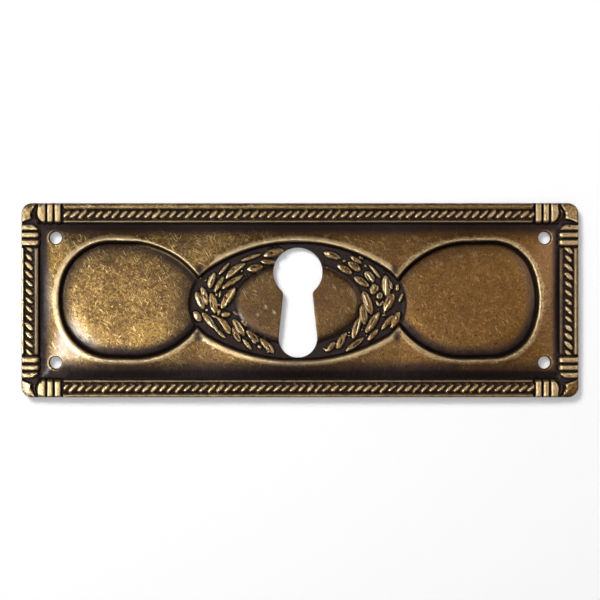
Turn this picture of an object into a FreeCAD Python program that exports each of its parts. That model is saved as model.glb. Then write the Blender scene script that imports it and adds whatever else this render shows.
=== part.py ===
import FreeCAD, Part
import math
import os

# Keyhole escutcheon: one plate pressed from brass sheet, with a roped frame, three overlapping
# ovals and a leaf wreath round the keyhole. All sizes in millimetres.
# Origin: middle of the back rim. +X along the plate, +Y to the round end of the keyhole, +Z out.

# Trimmed plate
plate_length = 105.0
plate_width = 36.6
plate_height = 2.3
corner_radius = 2.0
edge_bevel = 0.5
sheet = 0.7

# How far the pressed design sits from the middle of the trimmed outline
stamp_x = -0.2
stamp_y = -0.2

# Pin holes
pin_hole_diameter = 2.35
pin_spacing_x = 92.2
pin_spacing_y = 23.5

# Keyhole: round head over a flared skirt with a round foot
key_x = -0.4
head_radius = 4.64
head_y = 5.3
foot_radius = 3.64
foot_y = -7.2
skirt_lean = 6.1
neck_radius = 1.2

# Plain field inside the frame: a pillow that rises from the frame to a flat crown
frame_width_long = 3.85
frame_width_end = 3.75
frame_groove = 0.25
field_edge_height = 1.15
field_crown_height = 2.3
field_crown_inset = 3.2

# Mouldings of the frame, measured outwards from the field's edge
long_leg = {"bead": 0.6, "bead_radius": 0.3, "channel": 0.95, "channel_end": 2.95, "rope_width": 1.25}
end_leg = {"bead": 0.75, "bead_radius": 0.4, "channel": 1.2, "channel_end": 3.1, "rope_width": 1.45}
bead_height = 2.05
channel_floor = 1.7
trough_web = 0.6

# Rope: slanted strands in the channel
rope_pitch = 1.54
rope_lean = 42.0
rope_crest_share = 0.3
rope_top_share = 0.4
rope_valley_height = 1.8
rope_crest_height = 2.25

# Reeds beside each corner, measured from the design's end
reed_corner = 2.35
reed_wide = 5.15
reed_middle = 6.5
reed_inner = 8.0
reed_groove_floor = 1.65
corner_groove_width = 0.35
corner_groove_bulge = 1.05

# Recesses: an egg at each end and an oval in the middle that lies over the tips of both
recess_floor = 1.2
recess_wall_run = 0.4
egg_end_x = 45.3
egg_apex_x = 31.6
egg_half_height = 11.2
egg_inner_radius = 15.8
egg_tip_radius = 7.6
egg_side_radius = 15.5
egg_corner_radius = 9.0
middle_oval = {"x": -0.3, "y": -0.2, "a": 20.4, "b": 11.3, "end_radius": 7.7}

# Domes on the recess floors, and their profiles as shares: how far in, how far up.
# An egg's dome fills it up to a narrow gap and ends where the middle oval cuts it.
egg_dome = {"gap": 0.6, "crown": 2.05}
eye_dome = {"x": -0.6, "y": -0.5, "a": 12.0, "b": 7.9, "end_radius": 5.6, "crown": 1.9}
front_profile = ((0.0, 0.0), (0.12, 0.65), (0.7, 1.0))
back_profile = ((0.0, 0.0), (0.5, 1.0))
dome_wall = 0.5

# Wreath: each leaf from root to tip and its width, from the design's middle
leaf_height = 0.75
leaf_shoulder_share = 0.2
leaf_rib_share = 0.15
left_wreath = [
    (-19.4, 1.8, -18.0, -1.5, 1.1), (-18.4, 2.8, -17.3, -0.7, 0.85), (-16.6, 1.5, -15.8, -2.3, 1.1),
    (-15.9, 5.4, -16.9, 2.4, 0.95), (-14.2, 4.7, -15.9, 1.7, 0.75), (-10.6, 4.9, -14.4, 2.5, 0.8),
    (-12.1, 2.5, -14.6, -1.3, 1.25), (-15.0, -1.4, -15.2, -2.7, 0.45), (-14.7, -2.6, -12.9, -2.4, 0.85),
    (-19.8, -1.9, -18.5, -3.8, 1.0), (-18.2, -2.1, -15.8, -5.2, 0.95), (-15.5, -5.6, -13.9, -7.0, 0.45),
    (-15.3, -3.1, -13.1, -6.2, 1.0), (-12.4, -3.4, -10.3, -6.5, 1.0), (-12.5, -4.9, -11.1, -7.7, 0.85),
    (-13.7, 4.3, -10.1, 7.1, 1.0), (-10.9, 7.6, -7.2, 8.9, 0.65), (-9.7, 6.0, -6.8, 6.5, 1.15),
    (-6.6, 8.5, -2.9, 9.6, 1.15), (-7.2, 7.5, -4.3, 7.3, 0.8), (-15.1, 5.0, -13.1, 7.3, 0.55),
    (-10.6, -7.1, -8.9, -9.2, 0.6), (-9.9, -5.5, -7.6, -7.7, 1.0), (-7.8, -8.2, -7.1, -9.0, 0.5),
    (-7.3, -7.0, -4.7, -9.8, 1.0),
]
right_wreath = [
    (4.7, 9.2, 7.8, 8.1, 1.0), (7.3, 6.8, 10.0, 5.2, 0.95), (9.3, 7.4, 11.6, 5.7, 1.0),
    (9.8, 8.5, 11.8, 7.1, 0.7), (10.4, 4.6, 13.2, 2.8, 1.0), (12.5, 5.6, 14.2, 3.7, 1.1),
    (14.3, 3.3, 13.9, 1.2, 1.0), (13.3, 6.9, 15.4, 4.3, 0.5), (16.3, 4.9, 16.7, 0.9, 1.2),
    (12.2, 1.9, 13.7, -2.4, 1.2), (15.4, 1.7, 15.0, 0.3, 0.9), (14.6, 0.2, 15.1, -1.0, 0.4),
    (17.8, 1.4, 16.2, -1.8, 1.25), (19.6, 1.6, 18.9, -0.3, 0.5), (18.5, 3.3, 18.5, 1.9, 0.4),
    (12.0, -0.6, 12.4, -4.4, 1.15), (15.1, -2.1, 12.8, -5.9, 1.1), (17.7, -2.6, 15.6, -5.4, 0.75),
    (18.9, -2.0, 17.6, -5.0, 1.0), (11.4, -3.1, 10.2, -7.1, 1.0), (14.9, -5.3, 13.0, -7.4, 0.8),
    (12.2, -6.9, 8.9, -9.4, 0.85), (8.6, -6.1, 7.3, -9.0, 1.0), (6.8, -7.7, 5.4, -9.4, 0.85),
]

# Raised work is sunk this far into what carries it, and cutters pass their faces by the clearance.
# Edges are told apart by heights that differ by more than a tiny one.
sunk_depth = 0.1
clearance = 1.0
tiny = 0.01
half_length = plate_length / 2
half_width = plate_width / 2
field_half_x = half_length - frame_width_end
field_half_y = half_width - frame_width_long
stamp = FreeCAD.Vector(stamp_x, stamp_y, 0)
origin = FreeCAD.Vector(0, 0, 0)
up = FreeCAD.Vector(0, 0, 1)


def point(x, y, z=0.0):
    return FreeCAD.Vector(x, y, z)


def line(start, end):
    return Part.LineSegment(start, end).toShape()


def arc(start, middle, end):
    return Part.Arc(start, middle, end).toShape()


def mirrored(place):
    """The same place on the other side of the long axis."""
    return point(place.x, -place.y, place.z)


def face_of(edges):
    return Part.Face(Part.Wire(edges))


def polygon_face(corners):
    return Part.Face(Part.makePolygon(corners + corners[:1]))


def moved(shapes, offset):
    for shape in shapes:
        shape.translate(offset)
    return shapes


def box(half_x, half_y, low, high):
    return Part.makeBox(2 * half_x, 2 * half_y, high - low, point(-half_x, -half_y, low))


def turned(shape, angle):
    copy = shape.copy()
    copy.rotate(origin, up, angle)
    return copy


def rounded_slab(inset, low, high):
    """The plate's outline, drawn in by inset."""
    slab = box(half_length - inset, half_width - inset, low, high)
    corners = [edge for edge in slab.Edges if edge.BoundBox.ZMax - edge.BoundBox.ZMin > tiny]
    return slab.makeFillet(corner_radius - inset, corners)


def egg_outline(grow, z):
    """Left-hand egg, grown by grow: two wide arcs to a round tip, and a blunt outer end."""
    top = egg_half_height + grow
    inner_r = egg_inner_radius + grow
    side_r = egg_side_radius + grow
    corner_r = egg_corner_radius + grow
    tip_r = egg_tip_radius + grow
    drop = inner_r - top
    tip_x = math.sqrt((inner_r - tip_r) ** 2 - drop ** 2) - egg_apex_x
    turn = math.atan2(tip_x + egg_apex_x, drop)
    tip_join = point(inner_r * math.sin(turn) - egg_apex_x, inner_r * math.cos(turn) - drop, z)
    turn = 0.5 * turn
    shoulder = point(inner_r * math.sin(turn) - egg_apex_x, inner_r * math.cos(turn) - drop, z)
    tip = point(tip_x + tip_r, 0, z)
    apex = point(-egg_apex_x, top, z)
    side_x = side_r - egg_end_x - grow
    corner_y = top - corner_r
    corner_x = side_x - math.sqrt((side_r - corner_r) ** 2 - corner_y ** 2)
    turn = math.atan2(corner_y, side_x - corner_x)
    join = point(side_x - side_r * math.cos(turn), side_r * math.sin(turn), z)
    turn = 0.5 * (turn + 0.5 * math.pi)
    bend = point(corner_x - corner_r * math.cos(turn), corner_y + corner_r * math.sin(turn), z)
    start = point(corner_x, top, z)
    end = point(-egg_end_x - grow, 0, z)
    return Part.Wire([
        arc(mirrored(join), end, join), arc(join, bend, start), line(start, apex), arc(apex, shoulder, tip_join),
        arc(tip_join, tip, mirrored(tip_join)), arc(mirrored(tip_join), mirrored(shoulder), mirrored(apex)),
        line(mirrored(apex), mirrored(start)), arc(mirrored(start), mirrored(bend), mirrored(join)),
    ])


def oval_outline(sizes, grow, z):
    """Four-arc oval, grown by grow."""
    a, b, end_r = sizes["a"], sizes["b"], sizes["end_radius"]
    side_r = ((a - end_r) ** 2 + b ** 2 - end_r ** 2) / (2 * (b - end_r))
    turn = math.atan2(a - end_r, side_r - b)
    join_x = (side_r + grow) * math.sin(turn)
    join_y = (side_r + grow) * math.cos(turn) - (side_r - b)
    right, top = a + grow, b + grow
    oval = Part.Wire([
        arc(point(-join_x, join_y, z), point(0, top, z), point(join_x, join_y, z)),
        arc(point(join_x, join_y, z), point(right, 0, z), point(join_x, -join_y, z)),
        arc(point(join_x, -join_y, z), point(0, -top, z), point(-join_x, -join_y, z)),
        arc(point(-join_x, -join_y, z), point(-right, 0, z), point(-join_x, join_y, z)),
    ])
    oval.translate(point(sizes["x"], sizes["y"]))
    return oval


def middle_outline(grow, z):
    return oval_outline(middle_oval, grow, z)


def recess(outline, grow, floor):
    """Recess cutter with drafted walls, from its floor up past the crown of the field."""
    depth = field_crown_height - recess_floor
    height = depth + clearance
    flare = recess_wall_run * clearance / depth
    low = outline(grow - recess_wall_run, floor)
    high = outline(grow + flare, floor + height)
    return Part.makeLoft([low, high], True, True)


def dome(outline, reach, crown, profile, foot):
    """Dome as a stack of outlines: each step of the profile is drawn in and raised by its shares."""
    rise = crown + sunk_depth - recess_floor
    rings = [outline(-inset * reach, foot + rise * lift) for inset, lift in profile]
    return Part.makeLoft(rings, True, True)


def egg_domes(profile, grow, foot):
    def outline(inset, z):
        return egg_outline(grow - egg_dome["gap"] + inset, z)
    reach = egg_tip_radius - egg_dome["gap"]
    left = dome(outline, reach, egg_dome["crown"], profile, foot)
    return moved([left, turned(left, 180)], stamp)


def eye_hill(profile, grow, foot):
    def outline(inset, z):
        return oval_outline(eye_dome, grow + inset, z)
    return moved([dome(outline, eye_dome["end_radius"], eye_dome["crown"], profile, foot)], stamp)


def sunk_in(form, grow, floor, profile, dome_grow):
    """Cuts both eggs and raises their domes, then cuts the middle oval across them and raises the eye."""
    foot = floor - sunk_depth
    egg = recess(egg_outline, grow, floor)
    form = form.cut(moved([egg, turned(egg, 180)], stamp))
    form = form.fuse(egg_domes(profile, dome_grow, foot))
    form = form.cut(moved([recess(middle_outline, grow, floor)], stamp))
    return form.fuse(eye_hill(profile, dome_grow, foot))


def pillow(drop):
    """Field with a mitred rise on all four sides, as two arched bars that cross."""
    edge_z = field_edge_height - drop
    crown_z = field_crown_height - drop
    rise = field_crown_height - field_edge_height
    bend = (field_crown_inset ** 2 + rise ** 2) / (2 * rise)
    half_turn = 0.5 * math.asin(field_crown_inset / bend)
    bars = []
    for half, reach in ((field_half_x, field_half_y), (field_half_y, field_half_x)):
        crown = half - field_crown_inset
        mid_x = crown + bend * math.sin(half_turn)
        mid_z = crown_z - bend * (1 - math.cos(half_turn))
        outline = [
            line(point(-half, -reach, -clearance), point(half, -reach, -clearance)),
            line(point(half, -reach, -clearance), point(half, -reach, edge_z)),
            arc(point(half, -reach, edge_z), point(mid_x, -reach, mid_z), point(crown, -reach, crown_z)),
            line(point(crown, -reach, crown_z), point(-crown, -reach, crown_z)),
            arc(point(-crown, -reach, crown_z), point(-mid_x, -reach, mid_z), point(-half, -reach, edge_z)),
            line(point(-half, -reach, edge_z), point(-half, -reach, -clearance)),
        ]
        bars.append(face_of(outline).extrude(point(0, 2 * reach, 0)))
    return bars[0].common(turned(bars[1], 90))


def moulding_cutter(run, field_edge, leg):
    """What is cut from one leg of the frame between its reeds: over the bead and in the channel."""
    top = plate_height + clearance
    bead_y = field_edge + leg["bead"]
    bead_r = leg["bead_radius"]
    bead_foot = bead_height - bead_r
    inner = field_edge + frame_groove
    start = field_edge + leg["channel"]
    end = field_edge + leg["channel_end"]
    outline = [
        line(point(-run, inner, top), point(-run, inner, bead_foot)),
        line(point(-run, inner, bead_foot), point(-run, bead_y - bead_r, bead_foot)),
        arc(point(-run, bead_y - bead_r, bead_foot), point(-run, bead_y, bead_height),
            point(-run, bead_y + bead_r, bead_foot)),
        line(point(-run, bead_y + bead_r, bead_foot), point(-run, start, channel_floor)),
        line(point(-run, start, channel_floor), point(-run, end, channel_floor)),
        line(point(-run, end, channel_floor), point(-run, end, top)),
        line(point(-run, end, top), point(-run, inner, top)),
    ]
    return face_of(outline).extrude(point(2 * run, 0, 0))


def reed_arc(start_x, end_x, y, share):
    """Round back of one reed from its first groove on, the whole of it or its first half."""
    half = 0.5 * (end_x - start_x)
    rise = plate_height - reed_groove_floor
    bend = (half ** 2 + rise ** 2) / (2 * rise)
    reach = math.asin(half / bend)
    places = []
    for part in (0.0, 0.5 * share, share):
        turn = reach * (2 * part - 1)
        x = start_x + half + bend * math.sin(turn)
        places.append(point(x, y, plate_height - bend * (1 - math.cos(turn))))
    return arc(*places)


def reed_cutter(end_x, inner, outer):
    """What is cut over the half-round reeds, up to the crest of the reed beside the corner."""
    top = plate_height + clearance
    first, second, third = end_x - reed_inner, end_x - reed_middle, end_x - reed_wide
    crest_x = third + 0.5 * (third - second)
    outline = [
        line(point(first, inner, top), point(first, inner, reed_groove_floor)),
        reed_arc(first, second, inner, 1.0),
        reed_arc(second, third, inner, 1.0),
        reed_arc(third, 2 * third - second, inner, 0.5),
        line(point(crest_x, inner, plate_height), point(crest_x, inner, top)),
        line(point(crest_x, inner, top), point(first, inner, top)),
    ]
    return face_of(outline).extrude(point(0, outer - inner, 0))


def corner_groove_cutter(end_x, inner, outer):
    """Curved groove between the corner block and the first reed, bowed towards the corner."""
    floor = reed_groove_floor
    middle_y = 0.5 * (inner + outer)
    near = end_x - reed_corner - corner_groove_bulge - 0.5 * corner_groove_width
    far = near + corner_groove_width
    outline = [
        arc(point(near, inner, floor), point(near + corner_groove_bulge, middle_y, floor),
            point(near, outer, floor)),
        line(point(near, outer, floor), point(far, outer, floor)),
        arc(point(far, outer, floor), point(far + corner_groove_bulge, middle_y, floor),
            point(far, inner, floor)),
        line(point(far, inner, floor), point(near, inner, floor)),
    ]
    return face_of(outline).extrude(point(0, 0, plate_height + clearance - floor))


def rope(run, field_edge, leg):
    """Rope of one leg: slanted ridges, trimmed to a bar with sloping sides."""
    centre = field_edge + 0.5 * (leg["channel"] + leg["channel_end"])
    half = 0.5 * leg["rope_width"]
    foot = channel_floor - sunk_depth
    count = int(2 * run / rope_pitch)
    pitch = 2 * run / count
    shift = half * math.tan(math.radians(rope_lean))
    flat = 0.5 * rope_crest_share * pitch
    ridges = []
    for index in range(-1, count + 1):
        x = (index + 0.5) * pitch - run - shift
        ridges += [point(x - 0.5 * pitch, centre - half, rope_valley_height),
                   point(x - flat, centre - half, rope_crest_height),
                   point(x + flat, centre - half, rope_crest_height)]
    last = ridges[0] + point((count + 2) * pitch, 0)
    base = [point(last.x, last.y, foot), point(ridges[0].x, last.y, foot)]
    strands = polygon_face(ridges + [last] + base).extrude(point(2 * shift, 2 * half, 0))
    section = [(-half, foot), (-half, channel_floor), (-half * rope_top_share, rope_crest_height),
               (half * rope_top_share, rope_crest_height), (half, channel_floor), (half, foot)]
    bar = polygon_face([point(-run, centre + y, z) for y, z in section]).extrude(point(2 * run, 0, 0))
    return bar.common(strands)


def leaf(root_x, root_y, tip_x, tip_y, width):
    """A pointed leaf with two shoulders, hipped up to a short midrib."""
    length = math.hypot(tip_x - root_x, tip_y - root_y)
    shoulder = leaf_shoulder_share * length
    half = 0.5 * width
    outline = [point(x, y, -sunk_depth) for x, y in (
        (0.5 * length, 0), (shoulder, half), (-shoulder, half),
        (-0.5 * length, 0), (-shoulder, -half), (shoulder, -half))]
    tip, tip_left, root_left, root, root_right, tip_right = outline
    rib_tip = point(leaf_rib_share * length, 0, leaf_height)
    rib_root = point(-leaf_rib_share * length, 0, leaf_height)
    sides = [
        outline, [tip, tip_left, rib_tip], [tip_left, root_left, rib_root, rib_tip],
        [root_left, root, rib_root], [root, root_right, rib_root],
        [root_right, tip_right, rib_tip, rib_root], [tip_right, tip, rib_tip],
    ]
    shape = Part.Solid(Part.makeShell([polygon_face(side) for side in sides]))
    shape.rotate(origin, up, math.degrees(math.atan2(tip_y - root_y, tip_x - root_x)))
    shape.translate(point(0.5 * (root_x + tip_x), 0.5 * (root_y + tip_y), recess_floor))
    return shape


def keyhole():
    """Round head and flared skirt, tangent to the foot, with a small hollow fillet at the neck."""
    lean = math.radians(skirt_lean)
    normal = point(math.cos(lean), math.sin(lean))
    along = point(-math.sin(lean), math.cos(lean))
    head = point(0, head_y)
    foot = point(0, foot_y)
    skirt = foot + normal * foot_radius
    start = skirt + normal * neck_radius - head
    half_b = start.dot(along)
    reach = half_b ** 2 - start.dot(start) + (head_radius + neck_radius) ** 2
    fillet = head + start + along * (-half_b - math.sqrt(reach))
    neck_low = fillet - normal * neck_radius
    towards = (fillet - head).normalize()
    neck_high = head + towards * head_radius
    neck_mid = fillet - (towards + normal).normalize() * neck_radius
    right = [
        arc(neck_high, neck_mid, neck_low),
        line(neck_low, skirt),
    ]
    mirror = FreeCAD.Matrix()
    mirror.scale(-1, 1, 1)
    left = [
        arc(mirror.multVec(neck_high), mirror.multVec(neck_mid), mirror.multVec(neck_low)),
        line(mirror.multVec(neck_low), mirror.multVec(skirt)),
    ]
    head_arc = arc(mirror.multVec(neck_high), point(0, head_y + head_radius), neck_high)
    foot_arc = arc(skirt, point(0, foot_y - foot_radius), mirror.multVec(skirt))
    wire = Part.Wire(Part.__sortEdges__(right + left + [head_arc, foot_arc]))
    cutter = Part.Face(wire).extrude(point(0, 0, plate_height + 2 * clearance))
    cutter.translate(point(key_x, 0, -clearance))
    return cutter


def pin_holes():
    height = plate_height + 2 * clearance
    holes = []
    for side_x in (-1, 1):
        for side_y in (-1, 1):
            centre = point(side_x * pin_spacing_x / 2, side_y * pin_spacing_y / 2, -clearance)
            holes.append(Part.makeCylinder(pin_hole_diameter / 2, height, centre))
    return holes


def frame_cutters():
    """Mouldings, reeds and corner grooves of the four legs."""
    cutters = []
    for angle, half_x, half_y, edge, leg in (
            (0, half_length, half_width, field_half_y, long_leg),
            (90, half_width, half_length, field_half_x, end_leg)):
        inner = edge + frame_groove
        outer = half_y + clearance
        leg_parts = [
            moulding_cutter(half_x - reed_inner, edge, leg),
            reed_cutter(half_x, inner, outer),
            corner_groove_cutter(half_x, inner, outer),
        ]
        for part in leg_parts[1:]:
            leg_parts.append(part.mirror(origin, point(1, 0, 0)))
        for part in leg_parts:
            cutters.append(turned(part, angle))
            cutters.append(turned(part, angle + 180))
    return cutters


def raised_work():
    """Rope strands and wreath leaves, which stand on the cut floors."""
    pieces = []
    for angle, half_x, edge, leg in (
            (0, half_length, field_half_y, long_leg), (90, half_width, field_half_x, end_leg)):
        strands = rope(half_x - reed_inner, edge, leg)
        pieces.append(turned(strands, angle))
        pieces.append(turned(strands, angle + 180))
    for sizes in left_wreath + right_wreath:
        pieces.append(leaf(*sizes))
    return pieces


def front_form():
    """Everything under the front surface, before the holes."""
    blank = rounded_slab(0.0, 0.0, plate_height)
    rim = [edge for edge in blank.Edges if edge.BoundBox.ZMin > plate_height - tiny]
    blank = blank.makeChamfer(edge_bevel, rim)
    pocket = box(field_half_x + frame_groove, field_half_y + frame_groove, field_edge_height,
                 plate_height + clearance)
    field = pillow(0.0).common(box(half_length, half_width, 0.5 * field_edge_height, plate_height))
    form = blank.cut(moved([pocket] + frame_cutters(), stamp))
    form = form.fuse(moved([field], stamp))
    form = sunk_in(form, 0.0, recess_floor, front_profile, 0.0)
    return form.fuse(moved(raised_work(), stamp))


def back_form():
    """The hollow behind: a trough under the frame, the field's underside and the recess bosses."""
    low_z = field_edge_height - sheet
    trough_z = channel_floor - trough_web
    hollow = rounded_slab(sheet, -clearance, low_z)
    trough = rounded_slab(sheet, -clearance, trough_z)
    wall = 0.5 * sheet + frame_groove
    core = box(field_half_x + wall, field_half_y + wall, -2 * clearance, plate_height)
    trough = trough.cut(moved([core], stamp))
    field = pillow(sheet)
    hollow = hollow.fuse([trough] + moved([field], stamp))
    return sunk_in(hollow, sheet, recess_floor - sheet, back_profile, -dome_wall)


def escutcheon_plate():
    plate = front_form().cut(back_form())
    plate = plate.cut([keyhole()] + pin_holes())
    return plate.removeSplitter()


os.makedirs("parts", exist_ok=True)
plate = escutcheon_plate()
plate.exportStep("parts/escutcheon_plate.step")
print("solids", len(plate.Solids), "valid", plate.isValid(), "volume", round(plate.Volume, 1))
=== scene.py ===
import math

import bpy
import numpy as np
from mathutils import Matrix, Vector
from mathutils.geometry import delaunay_2d_cdt


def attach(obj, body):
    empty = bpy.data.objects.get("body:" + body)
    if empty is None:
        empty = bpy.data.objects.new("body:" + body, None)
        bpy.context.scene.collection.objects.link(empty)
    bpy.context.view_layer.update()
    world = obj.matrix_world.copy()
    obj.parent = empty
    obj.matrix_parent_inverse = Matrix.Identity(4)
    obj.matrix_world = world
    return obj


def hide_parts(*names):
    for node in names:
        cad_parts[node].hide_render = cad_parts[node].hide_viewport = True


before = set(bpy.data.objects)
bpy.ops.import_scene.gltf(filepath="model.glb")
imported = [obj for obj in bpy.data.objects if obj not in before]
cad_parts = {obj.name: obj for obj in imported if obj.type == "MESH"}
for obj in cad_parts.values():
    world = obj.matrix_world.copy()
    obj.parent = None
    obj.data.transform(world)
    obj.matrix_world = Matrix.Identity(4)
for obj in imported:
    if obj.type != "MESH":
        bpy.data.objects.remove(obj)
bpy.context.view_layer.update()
mm = 0.001

# sizes in millimetres, the same as the solid's
plate = {"halfLength": 52.5, "halfWidth": 18.3, "height": 2.3, "corner": 2.0, "sheet": 0.7, "stampX": -0.2,
         "stampY": -0.2, "edgeDrop": 0.5, "edgeRound": 0.4, "cornerRound": 2.4, "cornerReach": 4.6,
         "cornerFade": 2.5, "holeDrop": 0.1, "holeRound": 0.13}
field = {"halfX": 48.75, "halfY": 14.45, "edge": 1.15, "crown": 2.24, "arch": 1.5, "lip": 0.06,
         "lipAt": 0.5, "lipWide": 0.5}
recess = {"floor": 1.2, "lipOut": 0.2, "footIn": 0.5}
egg = {"end": 45.3, "apex": 31.6, "half": 11.1, "inner": 15.8, "side": 15.5, "leftCorner": 10.0,
       "rightCorner": 8.6, "lift": 0.3, "liftFrom": 22.0, "liftOver": 16.0}
middleOval = {"x": -0.3, "y": 0.0, "a": 20.4, "b": 11.3, "end": 7.7, "sag": 0.0011}
eggDome = {"foot": 0.5, "shoulder": 0.25, "shoulderWide": 0.35, "crown": 2.05, "reach": 6.0, "steep": 2.4,
           "endFoot": 0.1, "endReach": 2.2, "endSteep": 2.5, "endHeight": 0.6}
eyeDome = {"x": -0.6, "y": -0.5, "a": 12.0, "b": 7.9, "end": 5.6, "crown": 1.9, "reach": 4.0, "steep": 5.0}
keyhole = {"x": -0.4, "headY": 5.3, "head": 4.64, "footY": -7.2, "foot": 3.64, "lean": 6.1, "neck": 1.2}
pins = {"x": 46.1, "y": 11.75, "radius": 1.175, "sides": 40}
pinPlaces = [(sx * pins["x"], sy * pins["y"]) for sx in (-1, 1) for sy in (-1, 1)]
ledge = {"rise": 0.16, "inside": 0.62, "wide": 0.17}  # beside the left egg's upper right wall
underside = {"trough": 1.1, "troughFrom": 0.45, "troughWall": 0.3, "bossOut": 0.2, "bossWall": 0.6,
             "dishGap": 0.05, "dishEnd": 0.5, "rimWall": 0.25}


def smooth(t):
    t = np.clip(t, 0.0, 1.0)
    return t * t * (3 - 2 * t)


def fade(t):
    return 1 - smooth(t)


def hump(distance, at, wide):
    # one where the distance is at, falling to nothing beside it
    return np.exp(-((distance - at) / wide) ** 2)


def softMin(a, b, k):
    t = np.clip(0.5 + 0.5 * (b - a) / k, 0.0, 1.0)
    return b + (a - b) * t - k * t * (1 - t)


def softMax(a, b, k):
    return -softMin(-a, -b, k)


# outlines as signed distances, negative inside
def eggDistance(u, v, cornerRadius):
    q = np.abs(v)
    drop = egg["inner"] - egg["half"]
    inner = np.hypot(u + egg["apex"], q + drop) - egg["inner"]
    sideX = egg["side"] - egg["end"]
    cornerY = egg["half"] - cornerRadius
    cornerX = sideX - math.sqrt((egg["side"] - cornerRadius) ** 2 - cornerY ** 2)
    dx, dy = cornerX - sideX, cornerY
    side = np.hypot(u - sideX, q) - egg["side"]
    corner = np.hypot(u - cornerX, q - cornerY) - cornerRadius
    isSide = (q * -dx) < ((sideX - u) * dy)
    left = np.where(isSide, side, corner)
    left = np.where(u > cornerX, q - egg["half"], left)
    return np.where(u > -egg["apex"], inner, left)


def ovalDistance(u, v, oval):
    a, b, end = oval["a"], oval["b"], oval["end"]
    sideR = ((a - end) ** 2 + b ** 2 - end ** 2) / (2 * (b - end))
    p, q = np.abs(u - oval["x"]), np.abs(v - oval["y"])
    isEnd = p * (sideR - b) > (q + sideR - b) * (a - end)
    return np.where(isEnd, np.hypot(p - (a - end), q) - end, np.hypot(p, q + sideR - b) - sideR)


def eyeDistance(u, v):
    return ovalDistance(u, v, eyeDome)


def eggsDistance(u, v):
    # both eggs sit a little higher towards the plate's ends
    w = v - egg["lift"] * smooth((np.abs(u) - egg["liftFrom"]) / egg["liftOver"])
    return np.minimum(eggDistance(u, w, egg["leftCorner"]), eggDistance(-u, w, egg["rightCorner"]))


def middleDistance(u, v):
    # the oval's two ends hang a little lower than its middle
    return ovalDistance(u, v + middleOval["sag"] * u * u, middleOval)


def recessDistance(u, v):
    return softMin(eggsDistance(u, v), middleDistance(u, v), 0.25)


def trimDistance(x, y):
    # how far inside the trimmed outline
    px = np.abs(x) - (plate["halfLength"] - plate["corner"])
    py = np.abs(y) - (plate["halfWidth"] - plate["corner"])
    outside = np.hypot(np.maximum(px, 0), np.maximum(py, 0)) + np.minimum(np.maximum(px, py), 0)
    return plate["corner"] - outside


def keyholeLoop(step):
    lean = math.radians(keyhole["lean"])
    nx, ny = math.cos(lean), math.sin(lean)
    ax, ay = -ny, nx
    skirt = (keyhole["foot"] * nx, keyhole["footY"] + keyhole["foot"] * ny)
    startX = skirt[0] + keyhole["neck"] * nx
    startY = skirt[1] + keyhole["neck"] * ny - keyhole["headY"]
    along = startX * ax + startY * ay
    reach = along ** 2 - startX ** 2 - startY ** 2 + (keyhole["head"] + keyhole["neck"]) ** 2
    t = -along - math.sqrt(reach)
    neckX, neckY = startX + ax * t, keyhole["headY"] + startY + ay * t
    neckLow = (neckX - nx * keyhole["neck"], neckY - ny * keyhole["neck"])
    towards = math.atan2(neckY - keyhole["headY"], neckX)
    places = []

    def sweep(cx, cy, r, a0, a1):
        count = max(3, int(abs(a1 - a0) * r / step))
        for i in range(count):
            a = a0 + (a1 - a0) * i / count
            places.append((cx + r * math.cos(a), cy + r * math.sin(a)))

    def run(p, q):
        count = max(2, int(math.dist(p, q) / step))
        for i in range(count):
            places.append((p[0] + (q[0] - p[0]) * i / count, p[1] + (q[1] - p[1]) * i / count))

    sweep(0, keyhole["footY"], keyhole["foot"], -math.pi / 2, lean)
    run(skirt, neckLow)
    sweep(neckX, neckY, keyhole["neck"], math.pi + lean, math.pi + towards)
    sweep(0, keyhole["headY"], keyhole["head"], towards, math.pi / 2)
    right = np.array(places)
    left = right[1:][::-1] * [-1, 1]
    top = [[0, keyhole["headY"] + keyhole["head"]]]
    return np.vstack([right, top, left]) + [keyhole["x"], 0]


def pinLoop(x, y):
    a = np.arange(pins["sides"]) * 2 * math.pi / pins["sides"]
    return np.stack([x + pins["radius"] * np.cos(a), y + pins["radius"] * np.sin(a)], 1)


def trimLoop(inset, step):
    r = plate["corner"] - inset
    hx, hy = plate["halfLength"] - plate["corner"], plate["halfWidth"] - plate["corner"]
    corners = []
    for k, (cx, cy) in enumerate(((hx, hy), (-hx, hy), (-hx, -hy), (hx, -hy))):
        for a in np.linspace(0, math.pi / 2, 10) + k * math.pi / 2:
            corners.append((cx + r * math.cos(a), cy + r * math.sin(a)))
    corners = np.array(corners)
    loop = []
    for p, q in zip(corners, np.roll(corners, -1, 0)):
        count = max(1, round(math.dist(p, q) / step))
        loop += [p + (q - p) * j / count for j in range(count)]
    return np.array(loop)


def loopDistance(x, y, loop):
    # nearest distance to a closed loop, worked out where it is close
    best = np.full(x.shape, 9.0)
    near = (np.abs(x - loop[:, 0].mean()) < 9) & (np.abs(y) < 14)
    px, py = x[near], y[near]
    close = np.full(px.shape, 81.0)
    for (ax, ay), (bx, by) in zip(loop, np.roll(loop, -1, 0)):
        ex, ey = bx - ax, by - ay
        t = np.clip(((px - ax) * ex + (py - ay) * ey) / (ex * ex + ey * ey), 0, 1)
        close = np.minimum(close, (px - ax - t * ex) ** 2 + (py - ay - t * ey) ** 2)
    best[near] = np.sqrt(close)
    return best


def insideLoop(x, y, loop):
    inside = np.zeros(x.shape, bool)
    for (ax, ay), (bx, by) in zip(loop, np.roll(loop, -1, 0)):
        if ay != by:
            inside ^= ((ay > y) != (by > y)) & (x < (bx - ax) * (y - ay) / (by - ay) + ax)
    return inside


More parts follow.
